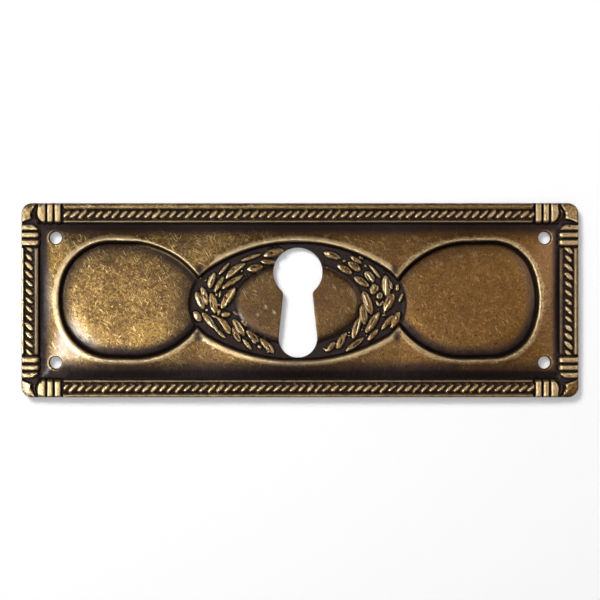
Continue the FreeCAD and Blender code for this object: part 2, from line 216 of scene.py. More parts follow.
# frame mouldings: height across a leg, from the field's edge outwards
longLeg = {"profile": ((0.0, 1.15), (0.2, 1.15), (0.3, 1.6), (0.38, 1.9), (0.48, 2.02), (0.6, 2.06),
                       (0.72, 2.02), (0.82, 1.9), (0.9, 1.72), (1.0, 1.58), (2.82, 1.58), (2.9, 1.75),
                       (2.98, 2.1), (3.12, 2.25), (3.35, 2.3), (3.85, 2.3)),
           "wide": 3.85, "ropeFrom": 0.88, "ropeTo": 3.0}
endLeg = {"profile": ((0.0, 1.15), (0.2, 1.15), (0.32, 1.6), (0.42, 1.9), (0.55, 2.02), (0.72, 2.06),
                      (0.9, 2.02), (1.03, 1.9), (1.13, 1.72), (1.22, 1.58), (3.0, 1.58), (3.06, 1.75),
                      (3.13, 2.1), (3.22, 2.25), (3.4, 2.3), (3.75, 2.3)),
          "wide": 3.75, "ropeFrom": 1.1, "ropeTo": 3.15}
reeds = {"first": 8.0, "second": 6.5, "third": 5.1, "floor": 1.55, "groove": 0.24, "top": 2.3, "flat": 5.0,
         "endFrom": 0.2, "endRound": 0.5, "taperFrom": 0.1, "taper": 0.9, "slimmest": 0.05, "left": 0.2,
         "right": -0.1, "thread": 0.2, "threadGap": 0.3, "channelRise": 0.25, "channelEnd": 0.3,
         "blockFrom": 0.08, "blockRise": 0.22}
# the corner block's border and the petal's near side, by the distance from the field
longCorner = {"block": ((0.3, 1.15, 2.2, 3.5), (3.35, 2.35, 2.4, 3.1)),
              "petal": ((0.2, 1.1, 2.1, 3.6), (4.35, 3.45, 3.15, 3.4)), "thread": 0.55}
endCorner = {"block": ((0.5, 1.6, 3.0, 3.7), (3.3, 2.95, 3.4, 3.7)),
             "petal": ((0.3, 0.6, 1.4, 3.7), (4.7, 4.3, 3.6, 3.72)), "thread": 0.0}


def legHeight(s, d, leg, corner):
    # s from the design's end, d outwards from the field
    z = np.interp(d, *zip(*leg["profile"]))
    span = reeds["top"] - reeds["floor"]
    block, petal = np.interp(d, *corner["block"]), np.interp(d, *corner["petal"])
    tip = np.sqrt(1 - (1 - np.clip((d - reeds["taperFrom"]) / reeds["taper"], 0, 1)) ** 2)
    borders = (petal, reeds["third"], reeds["second"], reeds["first"])
    for near, far in zip(borders, borders[1:]):
        half = np.maximum(0.5 * (far - near) - 0.5 * reeds["groove"], reeds["slimmest"]) * (0.5 + 0.5 * tip)
        t = np.clip(np.abs(s - 0.5 * (near + far)) / half, 0, 1)
        z = np.where((s > near) & (s <= far), reeds["floor"] + span * np.sqrt(1 - t ** reeds["flat"]), z)
    thread = np.clip(1 - np.abs(s - 0.5 * (block + petal)) / reeds["thread"], 0, 1)
    thread = thread * smooth((petal - block - reeds["threadGap"]) / reeds["threadGap"])
    z = np.where(s <= petal, reeds["floor"] + corner["thread"] * span * thread, z)
    start = smooth((s - reeds["first"] - 0.5 * reeds["groove"]) / reeds["channelRise"])
    z = np.where(s > reeds["first"], reeds["floor"] + (z - reeds["floor"]) * start, z)
    t = np.clip((d - reeds["endFrom"]) / reeds["endRound"], 0, 1)
    ended = field["edge"] + (z - field["edge"]) * np.sqrt(1 - (1 - t) ** 2)
    return np.where(s > reeds["first"] + reeds["channelEnd"], z, ended)


def frameHeight(u, v):
    au, av = np.abs(u), np.abs(v)
    dLong, dEnd = av - field["halfY"], au - field["halfX"]
    sLong = plate["halfLength"] - au + np.where(u < 0, reeds["left"], reeds["right"])
    sEnd = plate["halfWidth"] - av
    long = legHeight(sLong, dLong, longLeg, longCorner)
    end = legHeight(sEnd, dEnd, endLeg, endCorner)
    z = np.where(dLong > dEnd, long, end)
    # the plain block in the corner, with the petals of both legs beside it
    intoLong = np.interp(dLong, *longCorner["block"]) - sLong
    intoEnd = np.interp(dEnd, *endCorner["block"]) - sEnd
    shared = np.where(intoLong < 0, np.where(intoEnd < 0, np.minimum(long, end), long), end)
    into = np.minimum(intoLong, intoEnd)
    rise = smooth((into - reeds["blockFrom"]) / reeds["blockRise"])
    block = reeds["floor"] + (reeds["top"] - reeds["floor"]) * rise
    shared = np.where(into > 0, block, shared)
    return np.where((dLong > 0) & (dEnd > 0), shared, z)


def pillowHeight(u, v):
    # falls from the ridge round the recesses to the frame on all four sides
    edge = softMin(field["halfX"] - np.abs(u), field["halfY"] - np.abs(v), 0.5)
    ridge = np.maximum(recessDistance(u, v) - field["lipAt"], 0)
    t = np.clip(edge / (np.abs(edge) + ridge + 0.4), 0, 1)
    return field["edge"] + (field["crown"] - field["edge"]) * (1 - (1 - t) ** field["arch"])


def eggDomes(u, v):
    # each fills its egg and stops short at the middle oval
    into = -eggsDistance(u, v) - eggDome["foot"]
    inset = np.clip(into / eggDome["reach"], 0, 1)
    end = np.clip((middleDistance(u, v) + eggDome["endFoot"]) / eggDome["endReach"], 0, 1)
    low = eggDome["endHeight"]
    swell = (1 - (1 - inset) ** eggDome["steep"]) * (low + (1 - low) * (1 - (1 - end) ** eggDome["endSteep"]))
    step = eggDome["shoulder"] * smooth(into / eggDome["shoulderWide"])
    return recess["floor"] + step + (eggDome["crown"] - recess["floor"] - eggDome["shoulder"]) * swell


def eyeDomeHeight(u, v):
    inset = np.clip(-eyeDistance(u, v) / eyeDome["reach"], 0, 1)
    return recess["floor"] + (eyeDome["crown"] - recess["floor"]) * (1 - (1 - inset) ** eyeDome["steep"])


def thinSide(u, v):
    # one at the upper right of the left egg
    return smooth((u + 33) / 7) * fade((u + 17.5) / 2) * smooth((v - 3) / 3)


def wallShare(distance):
    return smooth((recess["lipOut"] - distance) / (recess["lipOut"] + recess["footIn"]))


leafShape = {"height": 0.66, "flat": 4.0, "pointed": 2.2, "full": 0.78, "long": 1.05, "edge": 0.62,
             "slight": 0.55, "lowest": 0.45, "endDrop": 0.25, "dent": 0.3, "softness": 0.06}
# root, tip, width and bow of each leaf of the wreath, from the design's middle
leftWreath = [
    (-19.4, 1.8, -18, -1.5, 1.1, 0.1), (-18.4, 2.8, -17.3, -0.7, 0.85, 0.1),
    (-16.6, 1.5, -15.8, -2.3, 1.1, 0.1), (-15.9, 5.4, -16.9, 2.4, 0.95, -0.1),
    (-14.2, 4.7, -15.9, 1.7, 0.75), (-10.6, 4.9, -14.4, 2.5, 0.8), (-12.1, 2.5, -14.6, -1.3, 1.25),
    (-15, -1.4, -15.2, -2.7, 0.45), (-14.7, -2.6, -12.9, -2.4, 0.85), (-19.8, -1.9, -18.5, -3.8, 1),
    (-18.2, -2.1, -15.8, -5.2, 0.95), (-15.5, -5.6, -13.9, -7, 0.45), (-15.3, -3.1, -13.1, -6.2, 1, 0.3),
    (-12.4, -3.4, -10.3, -6.5, 1), (-12.5, -4.9, -11.1, -7.7, 0.85), (-13.7, 4.3, -10.1, 7.1, 1, 0.3),
    (-10.9, 7.6, -7.2, 8.9, 0.65), (-9.7, 6, -6.8, 6.5, 1.15), (-6.6, 8.5, -2.9, 9.6, 1.15, 0.2),
    (-7.2, 7.5, -4.3, 7.3, 0.8), (-15.1, 5, -13.1, 7.3, 0.55), (-10.6, -7.1, -8.9, -9.2, 0.6),
    (-9.9, -5.5, -7.6, -7.7, 1), (-9, -7.2, -8, -8.1, 0.4), (-7.8, -8.2, -7.1, -9, 0.5),
    (-7.3, -7, -4.7, -9.8, 1), (-10.8, -3.9, -9.6, -4.8, 0.4),
]
rightWreath = [
    (4.7, 9.2, 7.8, 8.1, 1), (7.3, 6.8, 10, 5.2, 0.95), (9.3, 7.4, 11.6, 5.7, 1),
    (9.8, 8.5, 11.8, 7.1, 0.7), (10.4, 4.6, 13.2, 2.8, 1), (12.5, 5.6, 14.2, 3.7, 1.1),
    (14.3, 3.3, 13.9, 1.2, 1), (13.3, 6.9, 15.4, 4.3, 0.5), (16.3, 4.9, 16.7, 0.9, 1.2),
    (12.2, 1.9, 13.7, -2.4, 1.2), (15.4, 1.7, 15, 0.3, 0.9), (14.6, 0.2, 15.1, -1, 0.4),
    (17.8, 1.4, 16.2, -1.8, 1.25), (19.6, 1.6, 18.9, -0.3, 0.5), (18.5, 3.3, 18.5, 1.9, 0.4),
    (12, -0.6, 12.4, -4.4, 1.15), (15.1, -2.1, 12.8, -5.9, 1.1), (15.7, -2.6, 16.5, -2.6, 0.4),
    (17.7, -2.6, 15.6, -5.4, 0.75), (18.9, -2, 17.6, -5, 1), (11.4, -3.1, 10.2, -7.1, 1),
    (14.9, -5.3, 13, -7.4, 0.8), (12.2, -6.9, 8.9, -9.4, 0.85), (8.6, -6.1, 7.3, -9, 1),
    (6.8, -7.7, 5.4, -9.4, 0.85), (9.1, -6.5, 9.8, -6.5, 0.3),
]
petalPits = [(-50.9, 14.05, -50.8, 14.1, 0.2), (50.8, 14.15, 50.9, 14.1, 0.2),
             (-50.85, -13.7, -50.75, -13.75, 0.2)]
cuspShade = [(-18.8, 5.7, -18.7, 6.3, 0.8), (-19.0, -6.1, -18.9, -6.9, 0.8), (18.0, 5.6, 18.0, 6.2, 0.8),
             (18.4, -6.1, 18.4, -6.8, 0.8)]
# hooks, prongs and dots between the leaves
wreathBits = [
    (-18.15, 1.7, -17.9, 1.35, 0.45), (-15.6, 1.6, -15.45, 0.9, 0.4), (-13.55, 3.15, -14.5, 2.3, 0.6),
    (-14.8, 2.05, -15, 0.6, 0.38), (-15.1, -0.5, -14.9, -0.8, 0.4), (-12.4, -1.9, -11.6, -2.65, 0.36),
    (-15.6, -5.2, -13.8, -7, 0.4), (-14.7, -4, -13.9, -5.4, 0.42), (-16.5, -2.65, -15.3, -3.15, 0.42),
    (-10.85, 5.85, -10.65, 5.55, 0.4), (-10.2, 5.2, -10, 4.9, 0.35), (-18.6, 4.45, -18.4, 4.15, 0.38),
    (-9.45, -6.15, -9.15, -6.45, 0.42), (-5.95, -9.5, -5.65, -9.75, 0.42),
    (-17.55, -1.45, -17.2, -1.85, 0.45), (-17.7, 4.1, -17.4, 3.8, 0.4), (-13.1, -4.8, -13, -6.2, 0.45),
    (-16.8, -3.5, -15, -6.2, 0.5), (8.2, 7.4, 8.9, 7.8, 0.36), (11.3, 8.5, 12.2, 7.8, 0.36),
    (12.4, 6.8, 12.7, 6.6, 0.4), (12.3, 5.3, 13.5, 3.65, 0.36), (14.5, 0.1, 15.1, -0.95, 0.36, 0.05),
    (15.1, -0.95, 15.95, 0.15, 0.36, -0.05), (15.95, 5.55, 16.05, 5.25, 0.36),
    (16.05, 4.8, 16.15, 4.6, 0.32), (14.9, -1.4, 15.1, -1.6, 0.36), (18.5, 3.35, 18.85, 2.6, 0.34),
    (18.85, 2.6, 18.45, 1.85, 0.34), (18.05, 2.45, 18.15, 2.15, 0.3), (17.15, -3.5, 17, -4.65, 0.36),
    (17.8, -4.3, 17.35, -5.1, 0.4), (8.95, -5.8, 8.6, -6.9, 0.42), (7.3, -8.4, 7.1, -8.95, 0.42),
    (5.3, -9.1, 4.9, -9.4, 0.5), (4.8, -8.9, 4.6, -9.1, 0.38), (9.3, -5.8, 9.7, -5.9, 0.34),
    (11.75, -5.3, 12.15, -5.4, 0.34), (12.95, -4.9, 12.6, -6, 0.42), (12.7, -6.3, 12.9, -6.5, 0.36),
    (16.2, -1.9, 16, -2.2, 0.3), (14.8, 3.1, 14.8, 1.8, 0.4), (13.3, 6.8, 14.05, 5.85, 0.38),
    (17.3, 3.8, 17.55, 2.2, 0.4),
]
# strokes from end to end with their width: dents pressed into the leaves, and painted highlights (glints) on
# the leaves and the eye dome
dents = [
    (-17.75, 1.15, -17.65, 0.8, 0.14), (-16.45, -0.3, -16.4, -1.1, 0.13), (-16.2, 4.1, -16.5, 3.4, 0.13),
    (-13.9, 0.95, -13.7, 0.7, 0.15), (-16.8, -3.3, -16.25, -4.2, 0.13), (-11.85, -6.4, -11.3, -7.1, 0.14),
    (-12.5, 6.15, -12.2, 6.2, 0.14), (-5.3, 9.1, -5, 9.15, 0.15), (-5.8, -8.2, -5.4, -9.15, 0.13),
    (-15, -4.2, -14.4, -5, 0.12), (-11.7, -4.1, -11.2, -5, 0.12), (-8.7, -6.4, -8, -7.1, 0.12),
    (-18.7, 0.6, -18.3, -0.3, 0.1), (-12.8, 3.9, -12, 4.3, 0.11), (-8.8, 6.45, -8, 6.6, 0.12),
    (6, 9.1, 7.05, 8.6, 0.14), (16.8, 4.3, 17.1, 2.5, 0.13), (18.65, -3.1, 18.5, -3.6, 0.13),
    (11.4, -7.55, 10.4, -8.4, 0.14), (12.75, 4.9, 13.7, 3.5, 0.1), (13.25, 5.4, 14.2, 4, 0.1),
    (12.8, 0.8, 13.2, -0.4, 0.12), (17.1, 0.7, 16.8, -0.4, 0.12), (12.4, -1.7, 12.5, -3, 0.11),
    (14.4, -3.1, 13.6, -4.4, 0.11), (11.1, -4.2, 10.8, -5.4, 0.11), (8.8, 6.3, 9.4, 5.9, 0.12),
    (10.4, 7.1, 11, 6.6, 0.12), (11.6, 4.2, 12.4, 3.6, 0.11), (14.6, 2.8, 14.4, 1.8, 0.1),
    (8.2, -7.1, 7.9, -8, 0.1), (15.4, 1.3, 15.3, 0.8, 0.14),
]
paintedGlints = [
    (-19.4, 0.7, -18.7, -0.9, 0.22), (-18, 1.6, -17.95, 1.4, 0.16), (-16.45, -1.3, -16.4, -1.45, 0.16),
    (-17.45, -1.6, -17.35, -1.75, 0.16), (-19.55, -2.6, -19.4, -3, 0.2), (-17, -3.8, -16.4, -4.7, 0.13),
    (-16.1, 5.3, -16.9, 3.2, 0.12), (-9.65, 6.05, -9.4, 6, 0.16), (-6.45, 8.6, -6.2, 8.65, 0.16),
    (5.45, 9, 5.6, 8.9, 0.18), (7.35, 6.75, 7.7, 6.5, 0.16), (9.8, 8.2, 10.2, 7.7, 0.14),
    (13.7, 3.5, 14.2, 2.4, 0.12), (16.3, 4.2, 16.35, 1.1, 0.14), (17.1, -0.1, 16.1, -1.7, 0.12),
    (18.25, -3.1, 18.3, -3.3, 0.16), (5, -9.25, 5.2, -9.3, 0.18), (12.3, 1.1, 12.9, -0.7, 0.12),
    (13, 5, 14, 3.5, 0.12), (-6.3, -1, -6.15, -1.4, 0.14), (-6.1, -1.4, -5.9, -1, 0.14),
    (-4.7, -2, -4.7, -2.4, 0.14), (-8, -2.4, -7.8, -2.5, 0.14), (-6.9, 4, -6.7, 4.05, 0.14),
    (5.2, 6.3, 5.4, 6.3, 0.14), (6.7, 2.7, 6.9, 2.7, 0.16), (-11.7, -3.3, -10.4, -5.6, 0.09),
    (-8.4, -5.7, -7.6, -6.8, 0.09), (11.5, -3.4, 10.8, -6.2, 0.1), (14.8, -2.5, 13.2, -5.1, 0.1),
    (-14, -0.8, -12.2, 2.3, 0.1), (-13, 4.7, -10.8, 6.6, 0.09),
]


def leafHeight(u, v, rootX, rootY, tipX, tipY, width, bow=0.0):
    length = math.hypot(tipX - rootX, tipY - rootY)
    dx, dy = (tipX - rootX) / length, (tipY - rootY) / length
    mu, mv = u - 0.5 * (rootX + tipX), v - 0.5 * (rootY + tipY)
    t = np.clip((mu * dx + mv * dy) / (0.5 * length * leafShape["long"]), -1, 1)
    half = leafShape["full"] * width * (1 - np.abs(t) ** leafShape["pointed"]) ** leafShape["edge"] + 1e-4
    q = np.abs((mv * dx - mu * dy) - bow * (1 - t * t)) / half
    body = np.sqrt(np.clip(1 - q ** leafShape["flat"], 0, 1))
    share = min(1.0, leafShape["lowest"] + (1 - leafShape["lowest"]) * width / leafShape["slight"])
    return leafShape["height"] * share * body * (1 - leafShape["endDrop"] * np.abs(t) ** 3)


def markShare(u, v, marks):
    # one on the short strokes, falling to nothing beside them
    share = np.zeros(u.shape)
    for x0, y0, x1, y1, width in marks:
        near = (np.abs(u - 0.5 * (x0 + x1)) < 1.6) & (np.abs(v - 0.5 * (y0 + y1)) < 1.6)
        pu, pv = u[near] - x0, v[near] - y0
        ex, ey = x1 - x0, y1 - y0
        t = np.clip((pu * ex + pv * ey) / (ex * ex + ey * ey), 0, 1)
        away = np.hypot(pu - t * ex, pv - t * ey) / width
        share[near] = np.maximum(share[near], np.exp(-away ** 2))
    return share


def wreathHeight(u, v):
    z = np.zeros(u.shape)
    for leaf in leftWreath + rightWreath + wreathBits:
        x0, x1 = sorted((leaf[0], leaf[2]))
        y0, y1 = sorted((leaf[1], leaf[3]))
        near = (u > x0 - 1) & (u < x1 + 1) & (v > y0 - 1) & (v < y1 + 1)
        z[near] = np.maximum(z[near], leafHeight(u[near], v[near], *leaf))
    return z * (1 - leafShape["dent"] * markShare(u, v, dents))


def frontHeight(x, y):
    u, v = x - plate["stampX"], y - plate["stampY"]
    inField = (np.abs(u) < field["halfX"]) & (np.abs(v) < field["halfY"])
    z = np.where(inField, pillowHeight(u, v), frameHeight(u, v))
    z = z + field["lip"] * hump(recessDistance(u, v), field["lipAt"], field["lipWide"]) * inField
    sdEggs, sdMiddle = eggsDistance(u, v), middleDistance(u, v)
    wall = wallShare(sdEggs)
    z = z * (1 - wall) + recess["floor"] * wall
    z = np.where(sdEggs < 0, np.maximum(z, eggDomes(u, v)), z)
    z = z + ledge["rise"] * thinSide(u, v) * hump(sdEggs, -ledge["inside"], ledge["wide"])
    wall = wallShare(sdMiddle)
    z = z * (1 - wall) + recess["floor"] * wall
    work = softMax(eyeDomeHeight(u, v), recess["floor"] + wreathHeight(u, v), leafShape["softness"])
    z = np.where(sdMiddle < 0, np.maximum(z, work), z)
    return np.minimum(z, plate["height"] - edgeDrop(x, y))


def edgeDrop(x, y):
    # the rim rolls over, and wider at the four corners
    toCorner = np.hypot(plate["halfLength"] - np.abs(x), plate["halfWidth"] - np.abs(y))
    share = smooth((plate["cornerReach"] - toCorner) / plate["cornerFade"])
    wide = plate["edgeRound"] + (plate["cornerRound"] - plate["edgeRound"]) * share
    left = np.clip(1 - np.maximum(trimDistance(x, y), 0) / wide, 0, 1)
    return plate["edgeDrop"] * (1 - np.sqrt(1 - left * left))


def backHeight(x, y):
    # the underside that pressing leaves
    u, v = x - plate["stampX"], y - plate["stampY"]
    sheet = plate["sheet"]
    low = field["edge"] - sheet
    dFrame = np.maximum(np.abs(u) - field["halfX"], np.abs(v) - field["halfY"])
    intoFrame = smooth((dFrame - underside["troughFrom"]) / underside["troughWall"])
    trough = low + (underside["trough"] - low) * intoFrame
    hollow = np.where(dFrame > 0, trough, pillowHeight(u, v) - sheet)
    sd = recessDistance(u, v)
    boss = smooth((sheet + underside["bossOut"] - sd) / underside["bossWall"])
    hollow = hollow * (1 - boss) + (recess["floor"] - sheet) * boss
    eggDish = np.where(middleDistance(u, v) > underside["dishEnd"], eggDomes(u, v), 0)
    dishes = np.maximum(eggDish, eyeDomeHeight(u, v)) - sheet - underside["dishGap"]
    hollow = np.where(sd < 0, np.maximum(hollow, dishes), hollow)
    return hollow * smooth((trimDistance(x, y) - sheet) / underside["rimWall"])


# where the skin has its points: closer where the relief is finer
layout = {"fine": 0.14, "coarse": 0.52, "ring": 0.3, "trimStep": 0.35, "holeStep": 0.22, "back": 0.85,
          "row": 0.32, "cell": 0.07, "corner": 2.5, "cornerStep": 0.3, "edgeStep": 0.4,
          "edgeRows": (0.12, 0.3), "holeGap": 0.16, "field": (-46.5, 46.5, -13.0, 13.0),
          "wreath": (-21.5, 21.5, -11.4, 11.4), "bare": 0.001, "trimRolls": (0.06, 0.16, 0.3, 0.5),
          "holeRolls": (0.05, 0.13), "pinRolls": (0.22, 0.33, 0.45, 0.6), "backRolls": (0.35, 0.7, 0.95),
          "backStep": 0.8}
ringLevels = {"recess": (1.3, 1.0, 0.75, 0.5, 0.3, 0.15, 0.02, -0.12, -0.25, -0.38, -0.52, -0.7),
              "eye": (0.0, -0.15, -0.35, -0.6, -0.9, -1.3, -1.75),
              "middle": (0.9, 0.6, 0.3, 0.1, -0.1, -0.3, -0.5), "eggs": (-0.9, -1.15, -1.5, -2.0)}


def gridPoints(x0, x1, y0, y1, stepX, stepY):
    nx, ny = max(1, round((x1 - x0) / stepX)), max(1, round((y1 - y0) / stepY))
    gx, gy = np.meshgrid(np.linspace(x0, x1, nx + 1), np.linspace(y0, y1, ny + 1))
    return np.stack([gx.ravel(), gy.ravel()], 1)


def contourPoints(distance, level, box, step):
    # marches a level line of a signed distance on a fine grid, then thins it
    xs = np.arange(box[0], box[1], step * 0.5)
    ys = np.arange(box[2], box[3], step * 0.5)
    gx, gy = np.meshgrid(xs, ys)
    d = distance(gx, gy) - level
    places = []
    for axis in (0, 1):
        a = d[:, :-1] if axis == 0 else d[:-1, :]
        b = d[:, 1:] if axis == 0 else d[1:, :]
        hit = (a < 0) != (b < 0)
        t = (a / (a - b + 1e-12))[hit]
        if axis == 0:
            px, py = gx[:, :-1][hit] + t * step * 0.5, gy[:, :-1][hit]
        else:
            px, py = gx[:-1, :][hit], gy[:-1, :][hit] + t * step * 0.5
        places.append(np.stack([px, py], 1))
    return thinned(np.vstack(places), step * 0.6)


def thinned(places, gap):
    # keeps one point in each small cell
    cells = np.round(places / gap).astype(np.int64)
    _, keep = np.unique(cells[:, 0] * 1000003 + cells[:, 1], return_index=True)
    return places[np.sort(keep)]


def ringPoints(distance, levels, keep=None):
    found = []
    for level in levels:
        ring = contourPoints(distance, level, layout["field"], layout["ring"])
        found.append(ring if keep is None else ring[keep(*ring.T)])
    return found


def framePoints():
    # a fine grid under each leg's rope, rows along its edges and a close grid over its reeds
    sets = []
    for leg, half, total in ((longLeg, field["halfY"], plate["halfLength"]),
                             (endLeg, field["halfX"], plate["halfWidth"])):
        run = total - reeds["first"]
        parts = [gridPoints(-run, run, leg["ropeFrom"], leg["ropeTo"], layout["fine"], layout["fine"])]
        for row, _ in leg["profile"]:
            if row < leg["ropeFrom"] or row > leg["ropeTo"]:
                parts.append(gridPoints(-run, run, row, row, layout["row"], 1))
        for side in (-1, 1):
            near, far = sorted((side * (run + 0.09), side * (total - layout["corner"])))
            parts.append(gridPoints(near, far, 0.0, leg["wide"] - 0.05, 0.1, 0.3))
        spots = np.vstack(parts)
        spots[:, 1] += half
        for sign in (-1, 1):
            turned = spots * [1, sign]
            sets.append(turned if leg is longLeg else turned[:, ::-1])
    return thinned(np.vstack(sets), layout["cell"])


def frontPoints():
    longest, widest = plate["halfLength"], plate["halfWidth"]
    corner = gridPoints(-longest, longest, -widest, widest, layout["cornerStep"], layout["cornerStep"])
    away = np.abs(corner) > [longest - layout["corner"], widest - layout["corner"]]
    rings = ringPoints(recessDistance, ringLevels["recess"])
    rings += ringPoints(eyeDistance, ringLevels["eye"], lambda u, v: wreathHeight(u, v) < layout["bare"])
    rings += ringPoints(middleDistance, ringLevels["middle"], lambda u, v: eggsDistance(u, v) < -0.8)
    rings += ringPoints(eggsDistance, ringLevels["eggs"], lambda u, v: middleDistance(u, v) > 1.0)
    wreath = gridPoints(*layout["wreath"], layout["fine"], layout["fine"])
    u, v = wreath.T
    isFloor = (recessDistance(u, v) < -0.8) & (middleDistance(u, v) < -0.55) & (np.abs(u) > 2.0)
    wreath = wreath[isFloor & ((eyeDistance(u, v) > 0.08) | (wreathHeight(u, v) > layout["bare"]))]
    hx, hy = field["halfX"], field["halfY"]
    coarse = gridPoints(-hx, hx, -hy, hy, layout["coarse"], layout["coarse"])
    u, v = coarse.T
    onField = recessDistance(u, v) > 1.45
    onEgg = (eggsDistance(u, v) < -2.2) & (middleDistance(u, v) > 1.1)
    onEye = (eyeDistance(u, v) < -1.95) & (wreathHeight(u, v) < layout["bare"])
    edges = []
    for side in (-1, 1):
        for row in [side * (hy - inset) for inset in layout["edgeRows"]]:
            edges.append(gridPoints(-hx, hx, row, row, layout["edgeStep"], 1))
    for side in (-1, 1):
        for row in [side * (hx - inset) for inset in layout["edgeRows"]]:
            edges.append(gridPoints(row, row, -hy, hy, 1, layout["edgeStep"]))
    parts = [framePoints(), corner[away.all(1)], *rings, wreath, coarse[onField | onEgg | onEye], *edges]
    return np.vstack(parts) + [plate["stampX"], plate["stampY"]]


def skin(spots, loops, rollIns):
    # triangulates the points inside the trimmed outline and outside the holes
    x, y = spots.T
    keep = trimDistance(x, y) > layout["trimRolls"][0]
    for loop in loops[1:]:
        cx, cy = loop.mean(0)
        near = np.nonzero((np.abs(x - cx) < 12) & (np.abs(y - cy) < 12))[0]
        d = np.full(near.shape, 9.0)
        for px, py in loop:
            d = np.minimum(d, np.hypot(x[near] - px, y[near] - py))
        keep[near] &= ~insideLoop(x[near], y[near], loop) & (d > layout["holeGap"])
    points = [Vector(p) for p in np.vstack([*loops, rollIns, spots[keep]])]
    edges, spans = [], []
    for loop in loops:
        start, count = len(edges), len(loop)
        edges += [(start + i, start + (i + 1) % count) for i in range(count)]
        spans.append(range(start, start + count))
    coords, _, faces, origin, _, _ = delaunay_2d_cdt(points, edges, [], 0, 1e-5)
    index = {old: new for new, olds in enumerate(origin) for old in olds}
    coords, faces = np.array([tuple(c) for c in coords]), np.array(faces)
    x, y = coords[faces].mean(1).T
    keep = trimDistance(x, y) > 0
    for loop in loops[1:]:
        keep &= ~insideLoop(x, y, loop)
    return coords, faces[keep], [[index[i] for i in span] for span in spans]


def offsetLoop(loop, by):
    # moves a closed loop outwards along its normals
    tangent = np.roll(loop, -1, 0) - np.roll(loop, 1, 0)
    tangent /= np.linalg.norm(tangent, axis=1)[:, None]
    return loop + by * np.stack([tangent[:, 1], -tangent[:, 0]], 1)


def buildSheet():
    loops = [trimLoop(0.0, layout["trimStep"]), keyholeLoop(layout["holeStep"])]
    loops += [pinLoop(*place) for place in pinPlaces]
    rolls = [trimLoop(inset, layout["trimStep"]) for inset in layout["trimRolls"]]
    rolls += [offsetLoop(loop, out) for loop in loops[1:] for out in layout["holeRolls"]]
    rolls += [offsetLoop(loop, out) for loop in loops[2:] for out in layout["pinRolls"]]
    front, frontFaces, frontLoops = skin(frontPoints(), loops, np.vstack(rolls))
    rolls = [trimLoop(inset, layout["backStep"]) for inset in layout["backRolls"]]
    spots = gridPoints(-52.3, 52.3, -18.2, 18.2, layout["back"], layout["back"])
    back, backFaces, backLoops = skin(spots, loops, np.vstack(rolls))
    x, y = front.T
    hole = loopDistance(x, y, loops[1])
    for px, py in pinPlaces:
        hole = np.minimum(hole, np.abs(np.hypot(x - px, y - py) - pins["radius"]))
    z = frontHeight(x, y) - plate["holeDrop"] * np.clip(1 - hole / plate["holeRound"], 0, 1) ** 2
    verts = np.vstack([np.column_stack([front, z]), np.column_stack([back, backHeight(*back.T)])])
    shift = len(front)
    faces = frontFaces.tolist() + (backFaces[:, ::-1] + shift).tolist()
    for number, (top, bottom) in enumerate(zip(frontLoops, backLoops)):
        count = len(top)
        for i in range(count):
            a, b = top[i], top[(i + 1) % count]
            c, d = bottom[(i + 1) % count] + shift, bottom[i] + shift
            faces.append((b, a, d, c) if number == 0 else (a, b, c, d))
    mesh = bpy.data.meshes.new("escutcheonSheet")
    mesh.from_pydata(verts.tolist(), [], faces)
    mesh.validate()
    return mesh, len(front)


sheetMesh, frontCount = buildSheet()
print("sheet", len(sheetMesh.vertices), "points", len(sheetMesh.polygons), "faces")


# one maker for the node trees of shaders and geometry
class Wire:
    # an output socket that can stand in a sum
    def __init__(self, maker, node, key=0):
        self.maker, self.node, self.socket = maker, node, node.outputs[key]

    def pick(self, key):
        return Wire(self.maker, self.node, key)

    def __add__(self, other):
        return self.maker.math("ADD", self, other)

    def __sub__(self, other):
        return self.maker.math("SUBTRACT", self, other)

    def __rsub__(self, other):
        return self.maker.math("SUBTRACT", other, self)

    def __mul__(self, other):
        return self.maker.math("MULTIPLY", self, other)

    __radd__ = __add__
    __rmul__ = __mul__


class TreeMaker:
    def __init__(self, tree):
        self.tree = tree

    def add(self, kind, settings=None, values=None):
        node = self.tree.nodes.new(kind)
        for name, value in (settings or {}).items():
            setattr(node, name, value)
        for key, value in (values or {}).items():
            # a list of wires goes into one socket
            for item in value if isinstance(value, list) else [value]:
                if isinstance(item, Wire):
                    self.tree.links.new(item.socket, node.inputs[key])
                else:
                    node.inputs[key].default_value = item
        return Wire(self, node) if node.outputs else node

    def math(self, operation, *values):
        return self.add("ShaderNodeMath", {"operation": operation}, dict(enumerate(values)))


# the rope: strands repeated along the four legs, then stamped into the sheet
rope = {"Pitch": 1.54, "Strand Length": 2.3, "Strand Width": 0.9, "Strand Rise": 1.15, "Foot": 1.45,
        "Strand Top": 2.02, "Lean": 42.0, "Jitter": 5.0, "Bead": 0.17, "Seed": 11, "Softening": 1}
ropeForm = {"endGap": 0.35, "shift": 0.3, "longs": (0.84, 1.06), "widths": (0.86, 1.12),
            "rises": (0.92, 1.04), "segments": 24, "rings": 12, "beadAt": (-0.14, -0.84, 0.0),
            "beadRise": 0.5, "blend": 0.16, "above": 9.0}


